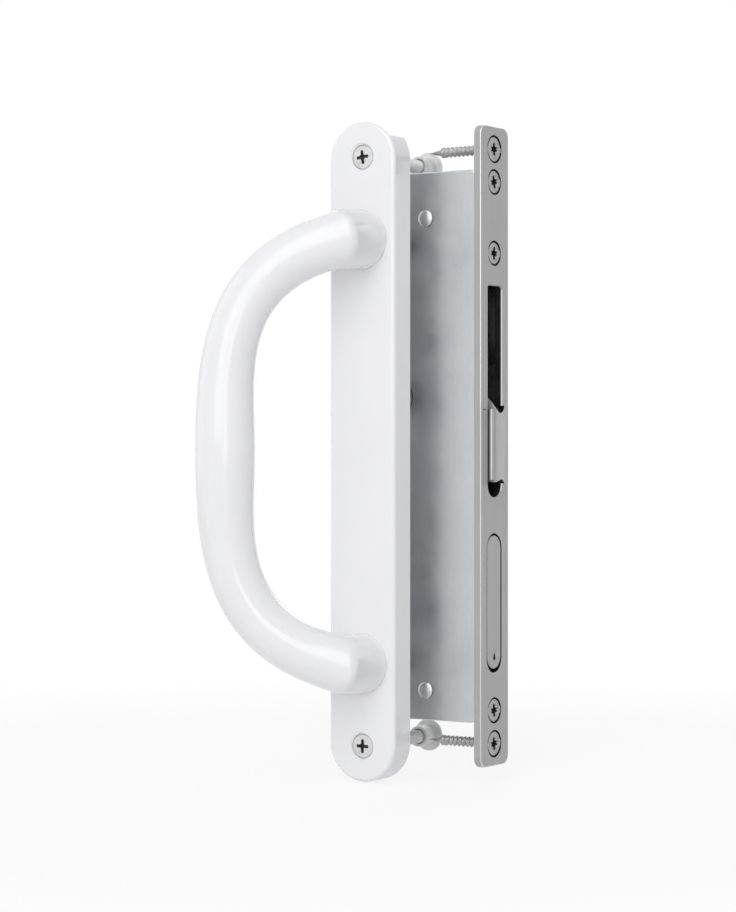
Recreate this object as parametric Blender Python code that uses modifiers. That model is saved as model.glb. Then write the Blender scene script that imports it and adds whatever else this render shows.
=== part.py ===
"""Sliding door handle set: D-shaped pull grip on a round-ended plate, with a hook lock in the door edge.

The origin is the middle of the plate's rear face. +X points to the door edge, +Y into the door, +Z up.
"""

import math

import bmesh
import bpy
from mathutils import Matrix, Vector

MM = 0.001
EASE = 0.3  # gap between pieces that touch
OVER = 1.0  # how far a cutter runs past what it cuts
SAME = 1e-4  # points closer than this are one point
RIM_ANGLE = 40.0  # an edge sharper than this is rounded with its rim, in degrees
FINE_SIDES = 32  # sides of turned pieces
MEDIUM_SIDES = 24
COARSE_SIDES = 16
SMALL_SIDES = 12
CROWN_STEPS = 3
CROSS_FOOT_LENGTH = 0.55  # size of a cross recess at its floor, as a share of its mouth
CROSS_FOOT_WIDTH = 0.8

# Door
DOOR_THICK = 35.0
EDGE_X = 36.0  # face of the door edge behind the faceplate

# Handle plate
PLATE_LENGTH = 241.0
PLATE_WIDTH = 28.2
PLATE_DEPTH = 11.0
PLATE_ROUND = 1.5
PLATE_SKIN = 3.4
PLATE_WALL = 3.0
PLATE_ROUND_STEPS = 20
PLATE_RIB = 3.0  # between the two lower pockets
BOSS_ABOVE = 15.0  # solid stretch of the plate over the spindle
BOSS_BELOW = 35.0
POCKET_CLEAR = 12.8  # from a grip screw to the nearest pocket
POCKET_CORNER = 2.8
POCKET_STEPS = 4
FIXING_INSET = 13.0  # from an end of the plate to its fixing screw
FIXING_SHANK_R = 2.5
FIXING_HEAD_R = 4.35
FIXING_HEAD_DEPTH = 2.6
FIXING_RECESS_R = 5.05
FIXING_RECESS_DEPTH = 3.3
FIXING_SHORT = 2.0  # from the tip of a fixing screw to the far face of the door
FIXING_CROWN = 0.6
FIXING_CROSS = (2.55, 1.15, 1.7)  # half length of an arm, its width, its depth
FIXING_TURNS = (9.0, 2.0)  # how far each cross is turned, in degrees
FIXING_POINT = 0.8

# Pull grip
GRIP_INSET = 43.2  # from an end of the plate to the grip's stub
GRIP_TILT = 30.0  # tilt of the loop away from the door, in degrees
GRIP_FALL = 15.3  # angle of the upper arm below level, in degrees
GRIP_ARM = 45.6
GRIP_SHOULDER = 31.0
GRIP_REACH = 41.3
ELBOW_HEIGHT = 14.5
ELBOW_DROP = 0.7  # how much nearer the middle the elbow is than its stub
ELBOW_FILLET = 4.0
ELBOW_CLEAR = 1.0  # from the elbow's last ring to the arm's first
STUB_RADII = ((0.0, 10.95), (0.6, 10.95), (2.2, 10.7))  # height above the plate, radius
ELBOW_R = 10.5
ARM_R = 10.0
MIDDLE_R = 10.8
ARM_WAIST = 0.85
GRIP_SIDES = 32
ELBOW_STEPS = 6
ARM_STEPS = 12
GRIP_CREASE = 50.0
GRIP_SCREW_R = 3.0
GRIP_SCREW_HEAD_R = 5.0
GRIP_SCREW_HEAD = 3.2
GRIP_SCREW_CROWN = 1.4
GRIP_SCREW_POINT = 1.0
GRIP_CROSS = (2.6, 1.2, 1.7)
GRIP_CROSS_TURN = 20.0
GRIP_SCREW_REACH = 15.0
GRIP_BORE_DEPTH = 16.0
GRIP_COUNTERBORE = 5.5

# Far side of the door
NUT_FLANGE_R = 6.0
NUT_FLANGE = 1.6
NUT_BARREL_R = 3.9
NUT_BARREL = 7.0
NUT_SOFT = 0.6
NUT_SLOT = 1.2
NUT_SLOT_DEPTH = 0.9
ROSE_R = 20.0
ROSE_DEPTH = 6.0
ROSE_EDGE = ((3.0, 0.0), (1.0, 0.9), (0.0, 2.4))  # in from the rim, down from the front
ROSE_SCREWS = 14.0  # from the spindle to each rose screw
ROSE_SCREW_R = 1.8
ROSE_SCREW_HEAD_R = 3.4
ROSE_SCREW_LENGTH = 13.0
ROSE_SCREW_SINK = 0.4
ROSE_SCREW_POINT = 2.0
ROSE_SCREW_RIM = 0.3
ROSE_HOLE_RIM = 0.8
ROSE_CROSS = (1.9, 0.9, 1.2)
ROSE_CROSS_TURN = 30.0
TURN_NECK_R = 6.6
TURN_COLLAR_R = 9.0
TURN_COLLAR = 2.4
TURN_WIDE = 34.0
TURN_THICK = 9.0
TURN_PADDLE = 14.0
TURN_NECK = 9.0
PADDLE_LIFT = 1.2
PADDLE_SOFT = (1.2, 2.0)
PADDLE_SIDES = 32

# Spindle and pinion
SPINDLE_Z = 20.0
SPINDLE_SIDE = 7.6
SPINDLE_FRONT = -6.0
SPINDLE_SOFT = 0.5
SPINDLE_SHORT = 1.0  # from the spindle's end to the turn's outer end
BEARING_R = 5.75
BEARING_DEPTH = 6.6
TEETH = 15
MODULE = 1.5
PRESSURE_ANGLE = 20.0
BACKLASH = 0.3
TOOTH_TIP = 0.9  # tooth heights, in modules
TOOTH_ROOT = 1.25
RACK_TIP = 0.8
RACK_ROOT = 1.15
RACK_END = 3.0  # plain stretch at each end of the rack
ROOT_FLARE = 0.01
FLANK_STEPS = 3
GEAR_CREASE = 30.0
PINION_WIDTH = 6.0
HUB_R = 9.0
HUB_COLLAR_R = 8.0

# Lock case, folded from sheet
LOCK_Y = 18.5
CASE_BACK_X = -15.5
CASE_INSET = 16.0  # from an end of the faceplate to the case
CASE_DEPTH = 15.0
SHEET = 1.5
CASE_CORNER = 3.0
CASE_CORNER_STEPS = 4
UPPER_RIVETS = ((-9.0, 11.0), (14.0, 17.0))  # X, and the way in from the end of the case
LOWER_RIVETS = ((-9.0, 9.0), (14.0, 11.0))
RIVET_R = 2.6
RIVET_NECK_R = 1.6
RIVET_HEAD_R = 3.1
RIVET_HEAD = 0.9

# Faceplate
FACE_SHORTER = 7.0  # how much shorter than the handle plate
FACE_WIDTH = 20.0
FACE_THICK = 3.0
FACE_MIDDLE_Z = 2.0
FACE_CORNER = 3.7
FACE_ROUND = 0.35
FACE_CORNER_STEPS = 8
HOOK_SLOT_LOW = -16.7
HOOK_SLOT_INSET = 58.3  # from the faceplate's upper end
HOOK_SLOT_WIDTH = 10.4
HOOK_SLOT_CORNER = 1.4
SLOT_STEPS = 14
NOTCH_DEPTH = 1.9  # relief in the slot's side, beside the hook's upper beak
NOTCH_HEIGHT = 3.8
TRIGGER_SLOT_INSET = 34.1  # from the faceplate's lower end
TRIGGER_SLOT_HIGH = -29.9
TRIGGER_SLOT_WIDTH = 11.0
UPPER_SCREWS = (8.3, 20.3, 46.4)  # from the faceplate's upper end
LOWER_SCREWS = (20.3, 8.1)  # from its lower end
SCREW_HEAD_RADII = (4.6, 4.2, 4.1, 4.25, 4.5)
SCREW_RING = 0.55
SCREW_HEAD_DEPTH = 2.3
SCREW_SINK = 0.25
SCREW_EDGE = 0.2
SCREW_RIM = 0.5
SCREW_CROSS = (2.3, 1.0, 1.7)
SCREW_TURNS = (12.0, 40.0, 3.0, 22.0, 33.0)
SCREW_SHANK_R = 2.0
WOOD_SCREW_LENGTH = 28.0
WOOD_SCREW_POINT = 6.0
CASE_SCREW_LENGTH = 11.0
CASE_SCREW_POINT = 0.7
WOOD_SCREWS = (0, 4)
LUG_DEPTH = 5.5
LUG_HALF = 4.2

# Hook and its carrier
HOOK_THICK = 2.4
HOOK_TOP = ((37.3, 18.9), (39.5, 16.2), (40.9, 14.5), (41.5, 13.7), (42.0, 13.4), (42.7, 13.6))
HOOK_TOP += ((43.4, 14.4),)
HOOK_TOP_TIP = (44.0, 16.2)
HOOK_BOTTOM_TIP = (44.0, -11.9)
HOOK_BOTTOM = ((43.5, -11.0), (42.9, -10.2), (42.3, -10.2), (41.5, -10.6), (40.2, -11.1), (38.4, -11.1))
HOOK_ROOT = ((23.0, -10.1), (23.0, 15.5), (33.5, 15.5), (35.5, 18.9))
HOOK_PINS_Z = (-4.5, 10.5)
HOOK_PIN_X = 27.5
HOOK_PIN_R = 1.75
CARRIER_BACK_X = 17.0
CARRIER_STEP_X = 22.0
CARRIER_LOW_Z = -24.0
CARRIER_HIGH_Z = 30.0
NOSE_LOW_Z = -10.6
NOSE_HIGH_Z = 15.9
NOSE_FRONT_X = 38.7
NOSE_HALF = 4.2
NOSE_CHAMFER = 1.2
NOSE_ROOT = 2.0  # how far the nose reaches into its carrier
PIN_SHORT = 0.1

# Push trigger
TRIGGER_TOP_GAP = 0.7
TRIGGER_FOOT_GAP = 1.4
TRIGGER_SIDE_GAP = 0.6
TRIGGER_ROUND = 1.0
TRIGGER_BACK_X = 27.0
TRIGGER_FRONT_X = 38.9
SHOULDER_OUT = 3.0
SHOULDER_CORNER = 2.0
TEAR_INSET = 5.6  # from the slot's lower end
TEAR_ARC = (160.0, 380.0)
TEAR_STEPS = 10
TEAR_LENGTH = 3.4
TEAR_WIDTH = 1.8
TEAR_DEPTH = 1.2
SPRING_INSET = 12.5  # from each end of the trigger slot
SPRING_R = 2.45
SPRING_WIRE_R = 0.35
SPRING_COILS = 5
SPRING_SIDES = 10
SPRING_CREASE = 60.0
SPIGOT_R = 1.6
SPIGOT = 4.0
SEAT_X = 9.5

# Values that follow from the sizes above
FIXING_Z = PLATE_LENGTH / 2 - FIXING_INSET
FIXING_REACH = DOOR_THICK - FIXING_SHORT
GRIP_Z = PLATE_LENGTH / 2 - GRIP_INSET
ELBOW_Z = GRIP_Z - ELBOW_DROP
POCKET_TOP = GRIP_Z - POCKET_CLEAR
BOSS_LOW = SPINDLE_Z - BOSS_BELOW
RIB_Z = (BOSS_LOW - POCKET_TOP) / 2
FACE_LENGTH = PLATE_LENGTH - FACE_SHORTER
FACE_LOW_Z = FACE_MIDDLE_Z - FACE_LENGTH / 2
FACE_HIGH_Z = FACE_MIDDLE_Z + FACE_LENGTH / 2
SCREW_HEIGHTS = tuple(FACE_HIGH_Z - inset for inset in UPPER_SCREWS)
SCREW_HEIGHTS += tuple(FACE_LOW_Z + inset for inset in LOWER_SCREWS)
HOOK_SLOT_HIGH = FACE_HIGH_Z - HOOK_SLOT_INSET
TRIGGER_SLOT_LOW = FACE_LOW_Z + TRIGGER_SLOT_INSET
SPRING_HEIGHTS = (TRIGGER_SLOT_HIGH - SPRING_INSET, TRIGGER_SLOT_LOW + SPRING_INSET)
TEAR_Z = TRIGGER_SLOT_LOW + TEAR_INSET
CASE_LOW_Z = FACE_LOW_Z + CASE_INSET
CASE_HIGH_Z = FACE_HIGH_Z - CASE_INSET
CASE_RIVETS = tuple((x, CASE_HIGH_Z - inset) for x, inset in UPPER_RIVETS)
CASE_RIVETS += tuple((x, CASE_LOW_Z + inset) for x, inset in LOWER_RIVETS)
FACE_X = EDGE_X + FACE_THICK
CASE_FRONT_X = EDGE_X - EASE
CASE_FRONT_Y = LOCK_Y - CASE_DEPTH / 2
CASE_BACK_Y = LOCK_Y + CASE_DEPTH / 2
ROOM_FRONT_Y = CASE_FRONT_Y + SHEET
ROOM_BACK_Y = CASE_BACK_Y - SHEET
FLANGE_X = CASE_FRONT_X - SHEET
PITCH_R = TEETH * MODULE / 2
RACK_PITCH = math.pi * MODULE


def clear_scene():
    for thing in list(bpy.data.objects):
        bpy.data.objects.remove(thing, do_unlink=True)


def collection(name):
    group = bpy.data.collections.new(name)
    bpy.context.scene.collection.children.link(group)
    return group


def material(name, colour, metallic, roughness):
    made = bpy.data.materials.new(name)
    made.use_nodes = True
    shader = made.node_tree.nodes["Principled BSDF"]
    shader.inputs["Base Color"].default_value = (*colour, 1.0)
    shader.inputs["Metallic"].default_value = metallic
    shader.inputs["Roughness"].default_value = roughness
    made.diffuse_color = (*colour, 1.0)
    return made


def frame_along(axis):
    """Rotation that takes local Z to the named world axis."""
    if axis == "X":
        return Matrix(((0, 0, 1), (1, 0, 0), (0, 1, 0))).to_4x4()
    if axis == "Y":
        return Matrix(((0, 1, 0), (0, 0, 1), (1, 0, 0))).to_4x4()
    return Matrix.Identity(4)


def flat_pair(axis, first, second):
    """A pair in the plane across an axis, in the local order of frame_along."""
    return (second, first) if axis == "Y" else (first, second)


def place(name, mesh, group, look=None, centre=(0, 0, 0)):
    """An object whose origin is at centre, given a mesh in world millimetres."""
    mesh.name = name
    mesh.transform(Matrix.Scale(MM, 4) @ Matrix.Translation(-Vector(centre)))
    thing = bpy.data.objects.new(name, mesh)
    thing.location = Vector(centre) * MM
    group.objects.link(thing)
    if look is not None:
        mesh.materials.append(look)
    return thing


def helper(name, mesh):
    thing = place(name, mesh, HELPERS)
    thing.hide_render = True
    thing.display_type = "WIRE"
    return thing


def boolean(target, other, operation):
    step = target.modifiers.new(other.name, "BOOLEAN")
    step.operation = operation
    step.solver = "EXACT"
    step.object = other


def cut(target, *meshes):
    for mesh in meshes:
        boolean(target, helper("cut_" + target.name, mesh), "DIFFERENCE")


def add(target, *meshes):
    for mesh in meshes:
        boolean(target, helper("add_" + target.name, mesh), "UNION")


def smooth(thing, angle=35.0):
    for face in thing.data.polygons:
        face.use_smooth = True
    thing.data.set_sharp_from_angle(angle=math.radians(angle))
    return thing


def mesh_of(edit):
    mesh = bpy.data.meshes.new("shape")
    bmesh.ops.recalc_face_normals(edit, faces=edit.faces)
    edit.to_mesh(mesh)
    edit.free()
    return mesh


def soften(edit, level, size, steps):
    """Rounds the edges that lie in the local plane at this height."""
    rim = [e for e in edit.edges if all(abs(v.co.z - level) < SAME for v in e.verts)]
    rim = [e for e in rim if e.calc_face_angle(0) > math.radians(RIM_ANGLE)]
    bmesh.ops.bevel(edit, geom=rim, offset=size, segments=steps, profile=0.5, affect="EDGES")


def prism(outline, axis, low, high, soft_low=0.0, soft_high=0.0, steps=3):
    """An outline drawn across an axis, filled and extruded between two heights on it."""
    edit = bmesh.new()
    corners = [edit.verts.new((*flat_pair(axis, *pair), low)) for pair in outline]
    line = [edit.edges.new((a, b)) for a, b in zip(corners, corners[1:] + corners[:1])]
    face = bmesh.ops.contextual_create(edit, geom=line)["faces"]
    raised = bmesh.ops.extrude_face_region(edit, geom=face)["geom"]
    top = [part for part in raised if isinstance(part, bmesh.types.BMVert)]
    bmesh.ops.translate(edit, verts=top, vec=(0, 0, high - low))
    bmesh.ops.recalc_face_normals(edit, faces=edit.faces)
    if soft_low:
        soften(edit, low, soft_low, steps)
    if soft_high:
        soften(edit, high, soft_high, steps)
    bmesh.ops.transform(edit, matrix=frame_along(axis), verts=edit.verts)
    return mesh_of(edit)


def turned(profile, axis, centre, sides=FINE_SIDES):
    """A solid turned about an axis. The profile lists radius and height along the axis, top first."""
    line = bpy.data.meshes.new("profile")
    points = [(radius, 0, height) for radius, height in profile]
    line.from_pydata(points, [(i, i + 1) for i in range(len(points) - 1)], [])
    spun = bpy.data.objects.new("profile", line)
    HELPERS.objects.link(spun)
    turn = spun.modifiers.new("turn", "SCREW")
    turn.steps = sides
    turn.render_steps = sides
    turn.use_merge_vertices = True
    turn.merge_threshold = SAME
    turn.use_smooth_shade = True
    bpy.context.view_layer.update()
    graph = bpy.context.evaluated_depsgraph_get()
    mesh = bpy.data.meshes.new_from_object(spun.evaluated_get(graph))
    bpy.data.objects.remove(spun)
    bpy.data.meshes.remove(line)
    edit = bmesh.new()
    edit.from_mesh(mesh)
    bpy.data.meshes.remove(mesh)
    bmesh.ops.remove_doubles(edit, verts=edit.verts, dist=SAME)
    bmesh.ops.transform(edit, matrix=Matrix.Translation(centre) @ frame_along(axis), verts=edit.verts)
    return mesh_of(edit)


def rod(radius, axis, centre, low, high, sides=FINE_SIDES):
    """A plain cylinder between two heights on a line through centre."""
    return turned(((0, high), (radius, high), (radius, low), (0, low)), axis, centre, sides)


def crown(radius, rise, level, outward):
    """Profile of a domed head from its middle to its rim, for a head whose top is at level."""
    turns = [math.radians(90 * i / CROWN_STEPS) for i in range(CROWN_STEPS + 1)]
    return tuple((radius * math.sin(t), level - outward * rise * (1 - math.cos(t))) for t in turns)


def block(low, high):
    edit = bmesh.new()
    bmesh.ops.create_cube(edit, size=1.0)
    size = [b - a for a, b in zip(low, high)]
    middle = [(a + b) / 2 for a, b in zip(low, high)]
    move = Matrix.Translation(middle) @ Matrix.Diagonal((*size, 1))
    bmesh.ops.transform(edit, matrix=move, verts=edit.verts)
    return mesh_of(edit)


def arc(centre, radius, start, end, steps):
    turns = [math.radians(start + (end - start) * i / steps) for i in range(steps + 1)]
    return [(centre[0] + radius * math.cos(t), centre[1] + radius * math.sin(t)) for t in turns]


def stadium(width, low, high, middle=0.0, steps=16):
    """A slot shape: width across, round ends between low and high."""
    radius = width / 2
    top = arc((middle, high - radius), radius, 0, 180, steps)
    return top + arc((middle, low + radius), radius, 180, 360, steps)


def round_box(left, low, right, high, radius, steps=5):
    corners = ((right - radius, high - radius), (left + radius, high - radius))
    corners += ((left + radius, low + radius), (right - radius, low + radius))
    points = []
    for turn, corner in enumerate(corners):
        points += arc(corner, radius, 90 * turn, 90 * turn + 90, steps)
    return points


def cross_recess(axis, centre, level, cross, turn, outward):
    """Two tapered bars that cross, as the cutter of a screw's recess. Outward is the side of the head."""
    half, arm, depth = cross
    bars = []
    for quarter in (0, 90):
        edit = bmesh.new()
        bmesh.ops.create_cube(edit, size=1.0)
        for vertex in edit.verts:
            deep = vertex.co.z < 0
            vertex.co.x *= 2 * half * (CROSS_FOOT_LENGTH if deep else 1.0)
            vertex.co.y *= arm * (CROSS_FOOT_WIDTH if deep else 1.0)
            vertex.co.z = -depth if deep else OVER
        spin = Matrix.Rotation(math.radians(turn + quarter), 4, "Z")
        flip = Matrix.Identity(4) if outward > 0 else Matrix.Rotation(math.pi, 4, "X")
        shift = Matrix.Translation((0, 0, level))
        move = Matrix.Translation(centre) @ frame_along(axis) @ shift @ flip @ spin
        bmesh.ops.transform(edit, matrix=move, verts=edit.verts)
        bars.append(mesh_of(edit))
    return bars


def build_backplate():
    outline = stadium(PLATE_WIDTH, -PLATE_LENGTH / 2, PLATE_LENGTH / 2, steps=PLATE_ROUND_STEPS)
    body = prism(outline, "Y", -PLATE_DEPTH, 0, soft_low=PLATE_ROUND)
    plate = place("backplate", body, PARTS, ENAMEL)
    half = PLATE_WIDTH / 2 - PLATE_WALL
    pockets = ((SPINDLE_Z + BOSS_ABOVE, POCKET_TOP), (RIB_Z + PLATE_RIB / 2, BOSS_LOW))
    pockets += ((-POCKET_TOP, RIB_Z - PLATE_RIB / 2),)
    for low, high in pockets:
        ring = round_box(-half, low, half, high, POCKET_CORNER, POCKET_STEPS)
        cut(plate, prism(ring, "Y", -PLATE_DEPTH + PLATE_SKIN, OVER))
    for side in (1, -1):
        fixing = (0, 0, side * FIXING_Z)
        floor = -PLATE_DEPTH + FIXING_RECESS_DEPTH
        bore_r = FIXING_SHANK_R + EASE
        profile = ((0, OVER), (bore_r, OVER), (bore_r, floor), (FIXING_RECESS_R, floor))
        profile += ((FIXING_RECESS_R, -PLATE_DEPTH - OVER), (0, -PLATE_DEPTH - OVER))
        cut(plate, turned(profile, "Y", fixing))
        grip = (0, 0, side * GRIP_Z)
        head_r = GRIP_SCREW_HEAD_R + 2 * EASE
        bore_r = GRIP_SCREW_R + EASE
        profile = ((0, OVER), (head_r, OVER), (head_r, -GRIP_COUNTERBORE), (bore_r, -GRIP_COUNTERBORE))
        profile += ((bore_r, -PLATE_DEPTH - OVER), (0, -PLATE_DEPTH - OVER))
        cut(plate, turned(profile, "Y", grip, MEDIUM_SIDES))
    cut(plate, rod(BEARING_R, "Y", (0, 0, SPINDLE_Z), -BEARING_DEPTH, OVER, MEDIUM_SIDES))
    smooth(plate)


def arm_point(share):
    """Point and direction of the upper arm's centreline, as reach and height, for a share from 0 to 1."""
    fall = math.radians(GRIP_FALL)
    start = Vector((0, ELBOW_Z))
    guides = (start, start + GRIP_ARM * Vector((math.cos(fall), -math.sin(fall))))
    guides += (Vector((GRIP_REACH, GRIP_SHOULDER)), Vector((GRIP_REACH, 0)))
    rest = 1 - share
    weights = (rest**3, 3 * rest**2 * share, 3 * rest * share**2, share**3)
    point = sum((w * g for w, g in zip(weights, guides)), Vector((0, 0)))
    slopes = (rest**2, 2 * rest * share, share**2)
    legs = [b - a for a, b in zip(guides, guides[1:])]
    return point, sum((w * leg for w, leg in zip(slopes, legs)), Vector((0, 0))).normalized()


def arm_radius(share):
    swell = share**2 * (3 - 2 * share)
    waist = 16 * share**2 * (1 - share) ** 2
    return ARM_R + (MIDDLE_R - ARM_R) * swell - ARM_WAIST * waist


def grip_rings():
    """Rings of the upper half of the grip, from its foot on the plate to its middle.

    The elbow is a mitre between the stub and the arm. Every line along the tube turns through it on the
    same small arc, so each ring there is the mitre's ellipse, moved along that arc.
    """
    tilt = math.radians(GRIP_TILT)
    out = Vector((-math.cos(tilt), -math.sin(tilt), 0))
    up = Vector((0, 0, 1))
    foot_y = -PLATE_DEPTH - EASE
    corner = Vector((0, -PLATE_DEPTH - ELBOW_HEIGHT, ELBOW_Z))
    into = Vector((0, -1, 0))
    first, slope = arm_point(0.0)
    leave = slope.x * out + slope.y * up
    bend = into.angle(leave)
    side = into.cross(leave).normalized()
    before = side.cross(into)
    after = side.cross(leave)
    mitre = (before + after) / (1 + before.dot(after))
    inward = (leave - math.cos(bend) * into) / math.sin(bend)
    lead = ELBOW_FILLET * math.tan(bend / 2)
    angles = [2 * math.pi * i / GRIP_SIDES for i in range(GRIP_SIDES)]
    rings = []
    for height, radius in STUB_RADII:
        middle = Vector((0, foot_y - height, GRIP_Z))
        rings.append([middle + radius * (math.cos(a) * side + math.sin(a) * before) for a in angles])
    for step in range(ELBOW_STEPS + 1):
        turn = bend * step / ELBOW_STEPS
        shift = (ELBOW_FILLET * math.sin(turn) - lead) * into
        shift += ELBOW_FILLET * (1 - math.cos(turn)) * inward
        radius = ELBOW_R + (ARM_R - ELBOW_R) * 0.5 * step / ELBOW_STEPS
        middle = corner + shift
        rings.append([middle + radius * (math.cos(a) * side + math.sin(a) * mitre) for a in angles])
    across = out.cross(up)
    phase = math.atan2(side.dot(across.cross(leave)), side.dot(across))
    clear = lead + ELBOW_R * math.tan(bend / 2) + ELBOW_CLEAR
    start = clear / (3 * GRIP_ARM)
    for step in range(ARM_STEPS + 1):
        share = start + (1 - start) * step / ARM_STEPS
        point, slope = arm_point(share)
        heading = slope.x * out + slope.y * up
        middle = Vector((corner.x, corner.y, 0)) + point.x * out + point.y * up
        level = across.cross(heading)
        radius = arm_radius(share)
        ring = [math.cos(a + phase) * across + math.sin(a + phase) * level for a in angles]
        rings.append([middle + radius * spoke for spoke in ring])
    return rings


def build_grip():
    half = grip_rings()
    lower = [[Vector((p.x, p.y, -p.z)) for p in ring] for ring in reversed(half[:-1])]
    edit = bmesh.new()
    rings = [[edit.verts.new(p) for p in ring] for ring in half + lower]
    for near, far in zip(rings, rings[1:]):
        for i in range(GRIP_SIDES):
            j = (i + 1) % GRIP_SIDES
            edit.faces.new((near[i], near[j], far[j], far[i]))
    edit.faces.new(list(reversed(rings[0])))
    edit.faces.new(rings[-1])
    grip = place("pull_grip", mesh_of(edit), PARTS, ENAMEL)
    for side in (1, -1):
        centre = (0, 0, side * GRIP_Z)
        floor = -PLATE_DEPTH - GRIP_BORE_DEPTH
        cut(grip, rod(GRIP_SCREW_R + EASE, "Y", centre, floor, -PLATE_DEPTH + OVER, MEDIUM_SIDES))
    smooth(grip, GRIP_CREASE)


def build_grip_screws():
    seat = -GRIP_COUNTERBORE + EASE
    top = seat + GRIP_SCREW_HEAD
    tip = -PLATE_DEPTH - GRIP_SCREW_REACH
    for name, side in (("grip_screw_top", 1), ("grip_screw_bottom", -1)):
        centre = (0, 0, side * GRIP_Z)
        profile = crown(GRIP_SCREW_HEAD_R, GRIP_SCREW_CROWN, top, 1)
        profile += ((GRIP_SCREW_HEAD_R, seat), (GRIP_SCREW_R, seat))
        profile += ((GRIP_SCREW_R, tip + GRIP_SCREW_POINT), (GRIP_SCREW_R - GRIP_SCREW_POINT, tip), (0, tip))
        screw = place(name, turned(profile, "Y", centre, COARSE_SIDES), PARTS, SCREW_STEEL)
        cut(screw, *cross_recess("Y", centre, top, GRIP_CROSS, GRIP_CROSS_TURN * side, 1))
        smooth(screw)


def build_fixing_screws():
    seat = -PLATE_DEPTH + FIXING_RECESS_DEPTH - EASE
    top = seat - FIXING_HEAD_DEPTH
    ends = (("fixing_screw_top", 1), ("fixing_screw_bottom", -1))
    for (name, side), turn in zip(ends, FIXING_TURNS):
        centre = (0, 0, side * FIXING_Z)
        tip = FIXING_REACH
        profile = ((0, tip), (FIXING_SHANK_R - FIXING_POINT, tip), (FIXING_SHANK_R, tip - FIXING_POINT))
        profile += ((FIXING_SHANK_R, seat), (FIXING_HEAD_R, seat))
        profile += tuple(reversed(crown(FIXING_HEAD_R, FIXING_CROWN, top, -1)))
        screw = place(name, turned(profile, "Y", centre, MEDIUM_SIDES), PARTS, SCREW_STEEL)
        cut(screw, *cross_recess("Y", centre, top, FIXING_CROSS, turn, -1))
        smooth(screw)


def build_sleeve_nuts():
    for name, side in (("sleeve_nut_top", 1), ("sleeve_nut_bottom", -1)):
        centre = (0, 0, side * FIXING_Z)
        seat = DOOR_THICK + EASE
        front = DOOR_THICK - NUT_BARREL
        bore = FIXING_SHANK_R + EASE
        deep = FIXING_REACH + OVER
        top = seat + NUT_FLANGE
        profile = ((0, top), (NUT_FLANGE_R - NUT_SOFT, top), (NUT_FLANGE_R, top - NUT_SOFT))
        profile += ((NUT_FLANGE_R, seat),)
        profile += ((NUT_BARREL_R, seat), (NUT_BARREL_R, front), (bore, front), (bore, deep), (0, deep))
        nut = place(name, turned(profile, "Y", centre, COARSE_SIDES), PARTS, SCREW_STEEL)
        wide = NUT_FLANGE_R + OVER
        low = (-wide, top - NUT_SLOT_DEPTH, centre[2] - NUT_SLOT / 2)
        cut(nut, block(low, (wide, top + OVER, centre[2] + NUT_SLOT / 2)))
        smooth(nut)


def build_spindle():
    half = SPINDLE_SIDE / 2
    far = DOOR_THICK + ROSE_DEPTH + TURN_NECK
    low = (-half, SPINDLE_FRONT, -half)
    edit = bmesh.new()
    edit.from_mesh(block(low, (half, far - SPINDLE_SHORT, half)))
    bmesh.ops.bevel(edit, geom=edit.edges, offset=SPINDLE_SOFT, segments=1, affect="EDGES")
    bmesh.ops.translate(edit, verts=edit.verts, vec=(0, 0, SPINDLE_Z))
    place("spindle", mesh_of(edit), PARTS, ZINC, (0, 0, SPINDLE_Z))


def build_turn():
    axis = (0, 0, SPINDLE_Z)
    back = DOOR_THICK + EASE
    neck_r = TURN_NECK_R
    shoulder = back + TURN_COLLAR
    front = DOOR_THICK + ROSE_DEPTH + TURN_NECK - TURN_PADDLE / 2
    profile = ((0, front), (neck_r, front), (neck_r, shoulder), (TURN_COLLAR_R, shoulder))
    profile += ((TURN_COLLAR_R, back), (0, back))
    turn = place("thumb_turn", turned(profile, "Y", axis), PARTS, ENAMEL, axis)
    start = DOOR_THICK + ROSE_DEPTH + PADDLE_LIFT
    turns = [2 * math.pi * i / PADDLE_SIDES for i in range(PADDLE_SIDES)]
    outline = [(TURN_THICK / 2 * math.cos(t), SPINDLE_Z + TURN_WIDE / 2 * math.sin(t)) for t in turns]
    paddle = prism(outline, "Y", start, start + TURN_PADDLE, *PADDLE_SOFT, steps=2)
    paddle.transform(Matrix.Translation(Vector(axis) * -1))
    boolean(turn, helper_at("add_paddle", paddle, axis), "UNION")
    half = SPINDLE_SIDE / 2 + EASE
    end = DOOR_THICK + ROSE_DEPTH + TURN_NECK - SPINDLE_SHORT + EASE
    socket = block((-half, back - OVER, SPINDLE_Z - half), (half, end, SPINDLE_Z + half))
    cut(turn, socket)
    smooth(turn)

    rim = tuple((ROSE_R - inward, ROSE_DEPTH - down) for inward, down in ROSE_EDGE)
    profile = ((0, ROSE_DEPTH),) + rim + ((ROSE_R, 0), (0, 0))
    level = (0, back, SPINDLE_Z)
    rose = place("turn_rose", turned(profile, "Y", level), PARTS, ENAMEL, axis)
    collar = TURN_COLLAR_R + EASE
    deep = TURN_COLLAR + EASE
    hole = TURN_NECK_R + EASE
    bore = ((0, ROSE_DEPTH + OVER), (hole, ROSE_DEPTH + OVER), (hole, deep), (collar, deep))
    bore += ((collar, -OVER), (0, -OVER))
    cut(rose, turned(bore, "Y", level, MEDIUM_SIDES))
    build_rose_screws(rose, back)
    smooth(rose)


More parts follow.
